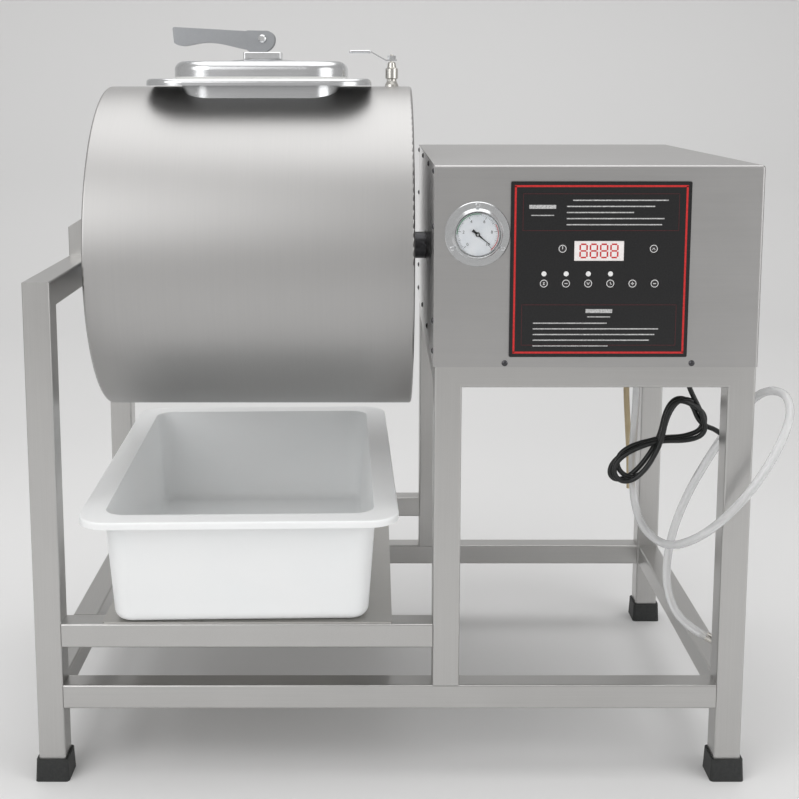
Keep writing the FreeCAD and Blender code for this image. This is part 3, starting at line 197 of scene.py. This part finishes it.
def line_length(piece):
    bare = piece.copy()
    bare.data = piece.data.copy()
    bare.data.bevel_depth = 0
    bpy.context.scene.collection.objects.link(bare)
    bpy.context.view_layer.update()
    mesh = bpy.data.meshes.new_from_object(bare.evaluated_get(bpy.context.evaluated_depsgraph_get()))
    total = sum((mesh.vertices[a].co - mesh.vertices[b].co).length for a, b in (e.vertices for e in mesh.edges))
    bpy.data.objects.remove(bare)
    bpy.data.meshes.remove(mesh)
    return total


def mottled(name, dark, light, scale, roughness, spread=(0.35, 0.65), detail=3.0, grain_depth=0.0,
            grain_strength=0.4):
    """A moulded or printed finish: two close colours in a fine cloud and, if asked, a fine grain."""
    material, tree, skin = shader(name)
    place = tree.nodes.new("ShaderNodeTexCoord")
    cloud = tree.nodes.new("ShaderNodeTexNoise")
    cloud.inputs["Scale"].default_value = scale
    cloud.inputs["Detail"].default_value = detail
    ramp = tree.nodes.new("ShaderNodeValToRGB")
    for stop, position, colour in zip(ramp.color_ramp.elements, spread, (dark, light)):
        stop.position = position
        stop.color = (*colour, 1)
    tree.links.new(place.outputs["Object"], cloud.inputs["Vector"])
    tree.links.new(cloud.outputs["Fac"], ramp.inputs["Fac"])
    tree.links.new(ramp.outputs["Color"], skin.inputs["Base Color"])
    skin.inputs["Roughness"].default_value = roughness
    if grain_depth:
        grain = tree.nodes.new("ShaderNodeBump")
        grain.inputs["Strength"].default_value = grain_strength
        grain.inputs["Distance"].default_value = grain_depth
        tree.links.new(cloud.outputs["Fac"], grain.inputs["Height"])
        tree.links.new(grain.outputs["Normal"], skin.inputs["Normal"])
    return material


whole_cloud = (0.0, 1.0)
rubber = mottled("black cord rubber", (0.004, 0.005, 0.005), (0.018, 0.020, 0.020), 900, 0.38,
                 whole_cloud, 2.0, 0.0004, 0.12)

power_cord = round_line("power_cord_line", cord_points, cord_width)
power_cord.data.materials.append(rubber)
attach(power_cord, "frame")
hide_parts("power_cord", "cord_hank")
finish_node("power_plug", rubber)
cord_length = line_length(power_cord)

# ---------------------------------------------------------------- Clear drain hose
# A clear vinyl hose with a thick wall. It hangs from its tail under the box, sweeps round the
# front of the leg and back behind it, and ends in a nickelled screw coupling.
hose_width = 0.012
hose_points = [
    (0.3730, -0.1105, 0.5900), (0.3730, -0.1105, 0.5300), (0.3710, -0.1065, 0.4640),
    (0.3682, -0.1105, 0.3995), (0.3712, -0.1465, 0.3363), (0.3971, -0.2145, 0.3207),
    (0.4280, -0.2785, 0.3558), (0.4654, -0.3085, 0.4035), (0.5006, -0.3165, 0.4541),
    (0.5282, -0.3125, 0.5032), (0.5484, -0.2905, 0.5392), (0.5511, -0.2525, 0.5608),
    (0.5279, -0.2185, 0.5556), (0.5010, -0.1985, 0.5141), (0.4677, -0.1905, 0.4569),
    (0.4362, -0.1855, 0.3953), (0.4137, -0.1845, 0.3311), (0.4060, -0.1885, 0.2682),
    (0.4145, -0.2025, 0.2247), (0.4389, -0.2145, 0.1990), (0.4606, -0.2225, 0.1903),
]
clear_hose = round_line("clear_hose_line", hose_points, hose_width)
vinyl = mottled("clear vinyl hose", (0.84, 0.85, 0.86), (0.95, 0.95, 0.95), 60, 0.16, whole_cloud, 2.0)
skin = vinyl.node_tree.nodes["Principled BSDF"]
skin.inputs["Transmission Weight"].default_value = 0.55
skin.inputs["IOR"].default_value = 1.45
clear_hose.data.materials.append(vinyl)
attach(clear_hose, "frame")
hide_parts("clear_hose")
round(line_length(clear_hose), 2)

# ---------------------------------------------------------------- Cream drain tube
# A short thick-walled rubber tube that hangs straight down from the pump's drain.
tube_width = 0.009
tube_points = [(0.362, -0.080, 0.590), (0.362, -0.080, 0.533), (0.3665, -0.081, 0.466), (0.370, -0.083, 0.417),
               (0.3705, -0.086, 0.370)]
drain_tube = round_line("drain_tube_line", tube_points, tube_width)
cream = mottled("cream tube rubber", (0.52, 0.40, 0.22), (0.72, 0.60, 0.40), 45, 0.45, whole_cloud, 2.0)
drain_tube.data.materials.append(cream)
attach(drain_tube, "frame")
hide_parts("drain_tube")
round(line_length(drain_tube), 2)

# ---------------------------------------------------------------- Stainless frame
# Drawn square tube, satin finished along its length, mitred and welded at the corners and ground
# flush there. The grain runs along each tube.
brushed_grain = bpy.data.node_groups.new("brushed grain", "ShaderNodeTree")
face = brushed_grain.interface
for label, kind in (("Position", "NodeSocketVector"), ("Stretch", "NodeSocketVector"), ("Metal", "NodeSocketColor"),
                    ("Colour Change", "NodeSocketFloat"), ("Base Roughness", "NodeSocketFloat"),
                    ("Roughness Change", "NodeSocketFloat"), ("Patch Size", "NodeSocketFloat")):
    face.new_socket(label, in_out="INPUT", socket_type=kind)
for label, kind in (("Colour", "NodeSocketColor"), ("Roughness", "NodeSocketFloat"), ("Height", "NodeSocketFloat")):
    face.new_socket(label, in_out="OUTPUT", socket_type=kind)
given = brushed_grain.nodes.new("NodeGroupInput")
result = brushed_grain.nodes.new("NodeGroupOutput")
link = brushed_grain.links.new
stretched = brushed_grain.nodes.new("ShaderNodeVectorMath")
stretched.operation = "MULTIPLY"
link(given.outputs["Position"], stretched.inputs[0])
link(given.outputs["Stretch"], stretched.inputs[1])
strokes = brushed_grain.nodes.new("ShaderNodeTexNoise")
strokes.inputs["Scale"].default_value = 1
strokes.inputs["Detail"].default_value = 4
strokes.inputs["Roughness"].default_value = 0.65
link(stretched.outputs[0], strokes.inputs["Vector"])
patches = brushed_grain.nodes.new("ShaderNodeTexNoise")
patches.inputs["Detail"].default_value = 3
link(given.outputs["Position"], patches.inputs["Vector"])
link(given.outputs["Patch Size"], patches.inputs["Scale"])
both = brushed_grain.nodes.new("ShaderNodeMix")
both.data_type = "FLOAT"
both.inputs[0].default_value = 0.45
link(strokes.outputs["Fac"], both.inputs[2])
link(patches.outputs["Fac"], both.inputs[3])
around = brushed_grain.nodes.new("ShaderNodeMath")
around.operation = "SUBTRACT"
around.inputs[1].default_value = 0.5
link(both.outputs[0], around.inputs[0])
shade = brushed_grain.nodes.new("ShaderNodeMath")
shade.operation = "MULTIPLY_ADD"
shade.inputs[2].default_value = 1.0
link(around.outputs[0], shade.inputs[0])
link(given.outputs["Colour Change"], shade.inputs[1])
tint = brushed_grain.nodes.new("ShaderNodeVectorMath")
tint.operation = "SCALE"
link(given.outputs["Metal"], tint.inputs[0])
link(shade.outputs[0], tint.inputs["Scale"])
rough = brushed_grain.nodes.new("ShaderNodeMath")
rough.operation = "MULTIPLY_ADD"
link(around.outputs[0], rough.inputs[0])
link(given.outputs["Roughness Change"], rough.inputs[1])
link(given.outputs["Base Roughness"], rough.inputs[2])
link(tint.outputs[0], result.inputs["Colour"])
link(rough.outputs[0], result.inputs["Roughness"])
link(strokes.outputs["Fac"], result.inputs["Height"])


def brushed(name, metal, stretch, roughness=0.3, change=0.25, rough_change=0.2, patch=7.0,
            bump_height=0.00008, metallic=1.0):
    """A satin metal whose grain lines run along the axis with the smallest stretch."""
    material, tree, skin = shader(name)
    place = tree.nodes.new("ShaderNodeTexCoord")
    grain = tree.nodes.new("ShaderNodeGroup")
    grain.node_tree = brushed_grain
    grain.inputs["Stretch"].default_value = stretch
    grain.inputs["Metal"].default_value = (*metal, 1)
    grain.inputs["Colour Change"].default_value = change
    grain.inputs["Base Roughness"].default_value = roughness
    grain.inputs["Roughness Change"].default_value = rough_change
    grain.inputs["Patch Size"].default_value = patch
    tree.links.new(place.outputs["Object"], grain.inputs["Position"])
    tree.links.new(grain.outputs["Colour"], skin.inputs["Base Color"])
    tree.links.new(grain.outputs["Roughness"], skin.inputs["Roughness"])
    relief = tree.nodes.new("ShaderNodeBump")
    relief.inputs["Strength"].default_value = 0.5
    relief.inputs["Distance"].default_value = bump_height
    tree.links.new(grain.outputs["Height"], relief.inputs["Height"])
    tree.links.new(relief.outputs["Normal"], skin.inputs["Normal"])
    skin.inputs["Metallic"].default_value = metallic
    return material


tube_steel = (0.52, 0.515, 0.505)
upright_tube = brushed("satin steel upright", tube_steel, (700, 700, 6), 0.32)
long_tube = brushed("satin steel long rail", tube_steel, (6, 700, 700), 0.32)
cross_tube = brushed("satin steel cross rail", tube_steel, (700, 6, 700), 0.32)
for name in ("legs_left", "legs_middle", "legs_right", "bearing_post"):
    finish_node(name, upright_tube)
for name in ("top_rails_long", "bottom_rails_long"):
    finish_node(name, long_tube)
for name in ("left_crossbar", "top_rails_side", "bottom_rails_side", "shelf_rails"):
    finish_node(name, cross_tube)

# ---------------------------------------------------------------- Rubber feet
# Moulded black rubber caps, pushed over the ends of the four outer legs.
foot_rubber = mottled("foot rubber", (0.008, 0.009, 0.009), (0.035, 0.037, 0.036), 260, 0.6, whole_cloud, 2.0)
finish_node("rubber_feet", foot_rubber)

# ---------------------------------------------------------------- Shelf plate
# A flat sheet laid across the shelf rails for the basin to stand on.
shelf_steel = brushed("satin steel shelf", (0.55, 0.54, 0.52), (5, 500, 500), 0.36)
finish_node("shelf_plate", shelf_steel)

# ---------------------------------------------------------------- Basin
# A moulded tub of milky plastic that lets some light through, with a flat rim and a turned lip.
milky = mottled("milky tub plastic", (0.90, 0.93, 0.94), (0.96, 0.965, 0.965), 9, 0.32, whole_cloud, 2.0)
skin = milky.node_tree.nodes["Principled BSDF"]
skin.inputs["Subsurface Weight"].default_value = 0.4
skin.inputs["Subsurface Radius"].default_value = (0.012, 0.012, 0.012)
skin.inputs["Subsurface Scale"].default_value = 1.0
finish_node("basin", milky)

# ---------------------------------------------------------------- Drum
# A barrel rolled from stainless sheet, polished round its girth, with pressed ends seamed on.
drum_steel = brushed("satin drum sheet", (0.46, 0.455, 0.45), (420, 7, 7), 0.46, 0.14, 0.06, 3.0)
end_steel = brushed("satin drum end", (0.46, 0.455, 0.45), (60, 300, 300), 0.40)
for name in ("drum_shell", "drum_vanes"):
    finish_node(name, drum_steel)
finish_node("drum_ends", end_steel)
bright_steel = brushed("bright turned steel", (0.70, 0.71, 0.72), (200, 200, 200), 0.22, 0.15)
dark_steel = brushed("oiled dark steel", (0.085, 0.085, 0.09), (200, 40, 40), 0.34, 0.3)
finish_node("drum_shaft_left", bright_steel)
finish_node("drum_shaft_right", dark_steel)

# ---------------------------------------------------------------- Mouth and lid
# The pressed mouth flange and the drawn lid, polished brighter than the drum.
lid_steel = brushed("polished lid sheet", (0.66, 0.67, 0.68), (9, 260, 260), 0.24, 0.16)
for name in ("mouth_frame", "lid_cover"):
    finish_node(name, lid_steel)
silicone = mottled("white silicone", (0.66, 0.66, 0.63), (0.78, 0.78, 0.76), 80, 0.5, whole_cloud, 2.0)
finish_node("lid_gasket", silicone)

# ---------------------------------------------------------------- Lid clamp and cam lever
# A machined seat, a stud with its bar, and a cast lever with a rounded cam.
seat_steel = brushed("machined clamp steel", (0.74, 0.75, 0.76), (300, 300, 60), 0.2, 0.15)
cast_alloy = brushed("blasted cast lever", (0.36, 0.37, 0.385), (160, 160, 160), 0.42, 0.25)
for name in ("lid_clamp_seat", "clamp_stud", "clamp_bar", "lever_pin"):
    finish_node(name, seat_steel)
finish_node("cam_lever", cast_alloy)

# ---------------------------------------------------------------- Vent valve
# A nickelled angle cock with a bent strip lever, finished here in bright steel without its green vinyl sleeve.
nickel = brushed("nickelled brass", (0.60, 0.585, 0.55), (240, 240, 240), 0.2, 0.2)
for name in ("valve_body", "valve_ball"):
    finish_node(name, nickel)
finish_node("valve_lever", bright_steel)
finish_node("hose_coupling", nickel)

# ---------------------------------------------------------------- Bearings
# Painted cast housings, bolted to the post's plate and to the box's floor.
cast_paint = brushed("grey blue casting paint", (0.13, 0.17, 0.21), (150, 150, 150), 0.45, 0.3, metallic=0.0)
for name in ("left_bearing_housing", "right_bearing_stand", "gearbox"):
    finish_node(name, cast_paint)
finish_node("left_bearing_plate", upright_tube)
finish_node("bearing_bolts", bright_steel)

# ---------------------------------------------------------------- Machine box
# Folded stainless cover, satin on its front and sides. The side panel beside the drum is the same sheet painted
# near white, a painted highlight standing in for the bright reflection it shows.
cover_steel = brushed("satin cover sheet", (0.46, 0.455, 0.45), (7, 420, 420), 0.38, 0.16)
# Painted highlight: the drum-side panel's near-white colour stands in for the light it reflects; its sheet is the
# cover's satin stainless.
panel_steel_painted_highlight = brushed("side panel painted highlight", (0.92, 0.915, 0.91), (420, 420, 7), 0.3, 0.08)
finish_node("box_cover", cover_steel)
finish_node("box_left_panel", panel_steel_painted_highlight)
finish_node("box_base", cover_steel)
finish_node("box_screws", dark_steel)
motor_paint = brushed("motor paint", (0.05, 0.07, 0.10), (150, 150, 150), 0.4, 0.3, metallic=0.0)
finish_node("drive_motor", motor_paint)
finish_node("vacuum_pump", motor_paint)
finish_node("outlet_fittings", foot_rubber)

# ---------------------------------------------------------------- Vacuum gauge
# A panel gauge in a bright turned case, held by three screws. Its white enamelled dial carries
# plain ticks, numbers and two coloured bands, behind flat glass.
finish_node("gauge_case", bright_steel)
glass, tree, skin = shader("gauge glass")
smear = tree.nodes.new("ShaderNodeTexNoise")
smear.inputs["Scale"].default_value = 30
film = tree.nodes.new("ShaderNodeMapRange")
film.inputs["To Min"].default_value = 0.01
film.inputs["To Max"].default_value = 0.06
place = tree.nodes.new("ShaderNodeTexCoord")
tree.links.new(place.outputs["Object"], smear.inputs["Vector"])
tree.links.new(smear.outputs["Fac"], film.inputs["Value"])
tree.links.new(film.outputs["Result"], skin.inputs["Roughness"])
skin.inputs["Base Color"].default_value = (0.98, 0.99, 0.99, 1)
skin.inputs["Transmission Weight"].default_value = 1.0
skin.inputs["IOR"].default_value = 1.1
finish_node("gauge_lens", glass)

black_ink = mottled("black print", (0.010, 0.010, 0.011), (0.020, 0.020, 0.021), 400, 0.5)
white_enamel = mottled("white dial enamel", (0.80, 0.82, 0.86), (0.88, 0.89, 0.92), 60, 0.4)
red_ink = mottled("red print", (0.50, 0.012, 0.012), (0.62, 0.020, 0.020), 300, 0.4)
green_ink = mottled("green print", (0.03, 0.28, 0.10), (0.05, 0.36, 0.14), 300, 0.4)
white_ink = mottled("white print", (0.74, 0.74, 0.74), (0.84, 0.84, 0.84), 300, 0.5)
finish_node("gauge_needle", black_ink)

case_low, case_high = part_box("gauge_case")
needle_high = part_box("gauge_needle")[1]
gauge_x = (case_low[0] + case_high[0]) / 2
gauge_z = (case_low[2] + case_high[2]) / 2
dial_y = needle_high[1] + 0.0008
upright = Matrix.Rotation(math.radians(90), 4, "X")


def flat_ring(name, middle, inner, outer, start, sweep, material, thickness=0.0001, body="frame", steps=40):
    """A thin printed band, disk or ring, spun from one edge about a level axis through its middle."""
    mesh = bmesh.new()
    turn = Matrix.Rotation(start, 3, "Y")
    ends = [mesh.verts.new(Vector(middle) + turn @ Vector((radius, 0, 0))) for radius in (inner, outer)]
    edge = mesh.edges.new(ends)
    full = abs(sweep - 2 * math.pi) < 1e-6
    bmesh.ops.spin(mesh, geom=[edge, *ends], cent=middle, axis=(0, 1, 0), angle=sweep, steps=steps,
                   use_merge=full, use_duplicate=False)
    bmesh.ops.remove_doubles(mesh, verts=mesh.verts, dist=1e-6)
    bmesh.ops.recalc_face_normals(mesh, faces=mesh.faces)
    if sum(face.normal.y for face in mesh.faces) > 0:
        bmesh.ops.reverse_faces(mesh, faces=mesh.faces)
    shell = bmesh.ops.extrude_face_region(mesh, geom=list(mesh.faces))
    bmesh.ops.translate(mesh, vec=(0, -thickness, 0),
                        verts=[v for v in shell["geom"] if isinstance(v, bmesh.types.BMVert)])
    bmesh.ops.recalc_face_normals(mesh, faces=mesh.faces)
    return finished(mesh, name, body, material, 0)


def bars(name, boxes, front, material, body="frame", thickness=0.0001):
    """Printed strokes: each box is (x, z, width, height, turn) on a plate whose face is at front."""
    mesh = bmesh.new()
    for x, z, width, height, turn in boxes:
        place = (Matrix.Translation((x, front - thickness / 2, z)) @ Matrix.Rotation(turn, 4, "Y")
                 @ Matrix.Diagonal((width, thickness, height, 1)))
        bmesh.ops.create_cube(mesh, size=1, matrix=place)
    return finished(mesh, name, body, material, 0)


dial = (gauge_x, dial_y, gauge_z)
print_thickness = 0.0001
dial_start, dial_sweep, dial_ticks = -45, 270, 50
number_circle, screw_circle = 0.0192, 0.0392
flat_ring("dial_enamel", dial, 0.0032, 0.0288, 0, 2 * math.pi, white_enamel, steps=64)
dial_face = dial_y - print_thickness
ticks = []
for count in range(dial_ticks + 1):
    angle = math.radians(dial_start + dial_sweep * count / dial_ticks)
    long = 0.0042 if count % 10 == 0 else 0.0028 if count % 5 == 0 else 0.0018
    reach = 0.0268 - long / 2
    ticks.append((gauge_x - reach * math.cos(angle), gauge_z + reach * math.sin(angle), long,
                  0.0005 if count % 5 == 0 else 0.0003, angle))
bars("dial_ticks", ticks, dial_face, black_ink)
for name, start, sweep, ink in (("dial_red_band", -30, 80, red_ink), ("dial_green_band", 180, 100, green_ink)):
    flat_ring(name, (gauge_x, dial_face, gauge_z), 0.0272, 0.0282, math.radians(start), math.radians(sweep), ink)


def numeral(name, words, x, z, height, front, material, body="frame"):
    """A printed number: text made into a mesh, stood upright on its plate."""
    curve = bpy.data.curves.new(name, "FONT")
    curve.body = words
    curve.size = height
    curve.align_x = "CENTER"
    curve.align_y = "CENTER"
    curve.extrude = 0.00005
    maker = bpy.data.objects.new(name, curve)
    bpy.context.scene.collection.objects.link(maker)
    bpy.context.view_layer.update()
    data = bpy.data.meshes.new_from_object(maker.evaluated_get(bpy.context.evaluated_depsgraph_get()))
    bpy.data.objects.remove(maker)
    mesh = bmesh.new()
    mesh.from_mesh(data)
    bmesh.ops.transform(mesh, matrix=Matrix.Translation((x, front - 0.00006, z)) @ upright, verts=mesh.verts)
    return finished(mesh, name, body, material, 0)


for count in range(6):
    angle = math.radians(dial_start + dial_sweep * count / 5)
    numeral("dial_number_%d" % count, str(count * 2), gauge_x - number_circle * math.cos(angle),
            gauge_z + number_circle * math.sin(angle), 0.0058, dial_face, black_ink)

gauge_screws = bmesh.new()
for angle in (90, 210, 330):
    x = gauge_x + screw_circle * math.cos(math.radians(angle))
    z = gauge_z + screw_circle * math.sin(math.radians(angle))
    bmesh.ops.create_cone(gauge_screws, cap_ends=True, segments=20, radius1=0.0036, radius2=0.0028, depth=0.0018,
                          matrix=Matrix.Translation((x, -0.2874, z)) @ upright)
rims = [e for e in gauge_screws.edges if len(e.link_faces) == 2 and e.calc_face_angle() > 0.8]
bmesh.ops.bevel(gauge_screws, geom=rims, affect="EDGES", offset=0.0003, segments=2, profile=0.5,
                material=-1)
finished(gauge_screws, "gauge_screws", "frame", bright_steel)

# ---------------------------------------------------------------- Control panel
# A black film plate with a red printed border, a display window and two rows of round keys. Thin
# ruled lines stand where instructions would be printed.
panel_film = mottled("black panel film", (0.004, 0.004, 0.0045), (0.009, 0.009, 0.010), 500, 0.32,
                     grain_depth=0.00002)
finish_node("control_panel", panel_film)
window_white = mottled("display window", (0.84, 0.79, 0.78), (0.90, 0.86, 0.85), 90, 0.25)
finish_node("display_window", window_white)
key_film = mottled("key film", (0.016, 0.014, 0.015), (0.028, 0.024, 0.026), 300, 0.38)
keys = ("key_power", "key_start", "key_vacuum", "key_tumble", "key_reverse", "key_timer", "key_plus", "key_minus")
for name in keys:
    finish_node(name, key_film)

panel_low, panel_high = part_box("control_panel")
face_y = panel_low[1]
middle_x = (panel_low[0] + panel_high[0]) / 2


def outline(low_x, low_z, high_x, high_z, stroke):
    """Four strokes round a rectangle."""
    wide, tall = high_x - low_x, high_z - low_z
    x, z = (low_x + high_x) / 2, (low_z + high_z) / 2
    return [(x, low_z, wide + stroke, stroke, 0), (x, high_z, wide + stroke, stroke, 0),
            (low_x, z, stroke, tall, 0), (high_x, z, stroke, tall, 0)]


inset = 0.0062
bars("panel_border", outline(panel_low[0] + inset, panel_low[2] + inset, panel_high[0] - inset,
                             panel_high[2] - inset, 0.0026), face_y, red_ink)
dim_red = mottled("dim red print", (0.045, 0.004, 0.006), (0.075, 0.006, 0.010), 300, 0.4)
bars("panel_fields", outline(panel_low[0] + 0.0165, panel_high[2] - 0.066, panel_high[0] - 0.0165,
                             panel_high[2] - 0.0165, 0.0008)
     + outline(panel_low[0] + 0.0165, panel_low[2] + 0.0165, panel_high[0] - 0.0165, panel_low[2] + 0.072, 0.0008),
     face_y, dim_red)
lines = [(panel_low[0] + 0.0425, panel_high[2] - 0.034, 0.036, 0.0052, 0),
         (panel_low[0] + 0.0425, panel_high[2] - 0.0455, 0.031, 0.0013, 0),
         (middle_x, panel_low[2] + 0.0635, 0.036, 0.0052, 0), (middle_x, panel_low[2] + 0.0555, 0.031, 0.0013, 0)]
upper_rows = ((0.083, 0.128), (0.075, 0.118), (0.075, 0.090), (0.075, 0.131), (0.075, 0.128))
for row, (start, wide) in enumerate(upper_rows):
    lines.append((panel_low[0] + start + wide / 2, panel_high[2] - 0.0252 - row * 0.0082, wide, 0.0016, 0))
for row, wide in enumerate((0.100, 0.170, 0.165, 0.158, 0.102)):
    lines.append((panel_low[0] + 0.032 + wide / 2, panel_low[2] + 0.0468 - row * 0.0078, wide, 0.0016, 0))
line_print = mottled("ruled line print", (0.30, 0.30, 0.30), (0.62, 0.62, 0.62), 900, 0.5)
bars("panel_ruled_lines", lines, face_y, line_print)

window_low, window_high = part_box("display_window")
digits = []
digit_wide, digit_tall, stroke = 0.0092, 0.0180, 0.0021
for digit in range(4):
    x = window_low[0] + 0.0125 + digit * 0.0138
    z = (window_low[2] + window_high[2]) / 2
    for side in (-1, 0, 1):
        digits.append((x, z + side * digit_tall / 2, digit_wide - stroke, stroke, 0))
    for side in (-1, 1):
        for end in (-1, 1):
            digits.append((x + side * digit_wide / 2, z + end * digit_tall / 4, stroke, digit_tall / 2 - stroke, 0))
bars("display_digits", digits, window_low[1], red_ink)

for name in keys:
    low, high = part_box(name)
    x, z, y = (low[0] + high[0]) / 2, (low[2] + high[2]) / 2, low[1]
    flat_ring(name + "_ring", (x, y, z), 0.0044, 0.0052, 0, 2 * math.pi, white_ink, 0.00008, name, 32)
    marks = {"key_power": [(x, z + 0.0014, 0.0008, 0.0042, 0)],
             "key_start": [(x - 0.0008, z, 0.0007, 0.0038, 0.6), (x + 0.0008, z, 0.0007, 0.0038, -0.6)],
             "key_vacuum": [(x, z, 0.0007, 0.0044, 0.5), (x, z, 0.0007, 0.0044, -0.5)],
             "key_tumble": [(x, z, 0.0042, 0.0008, 0)],
             "key_reverse": [(x - 0.0009, z, 0.0007, 0.0036, -0.5), (x + 0.0009, z, 0.0007, 0.0036, 0.5)],
             "key_timer": [(x, z + 0.0006, 0.0007, 0.0036, 0), (x + 0.0010, z - 0.0008, 0.0024, 0.0007, 0)],
             "key_plus": [(x, z, 0.0040, 0.0009, 0), (x, z, 0.0009, 0.0040, 0)],
             "key_minus": [(x, z, 0.0040, 0.0009, 0)]}[name]
    bars(name + "_mark", marks, y, white_ink, body=name, thickness=0.00008)
    if name in ("key_vacuum", "key_tumble", "key_reverse", "key_timer"):
        flat_ring(name + "_lamp", (x, face_y, z + 0.0132), 0.0, 0.0034, 0, 2 * math.pi, white_ink, 0.0003,
                  steps=24)

low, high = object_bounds()
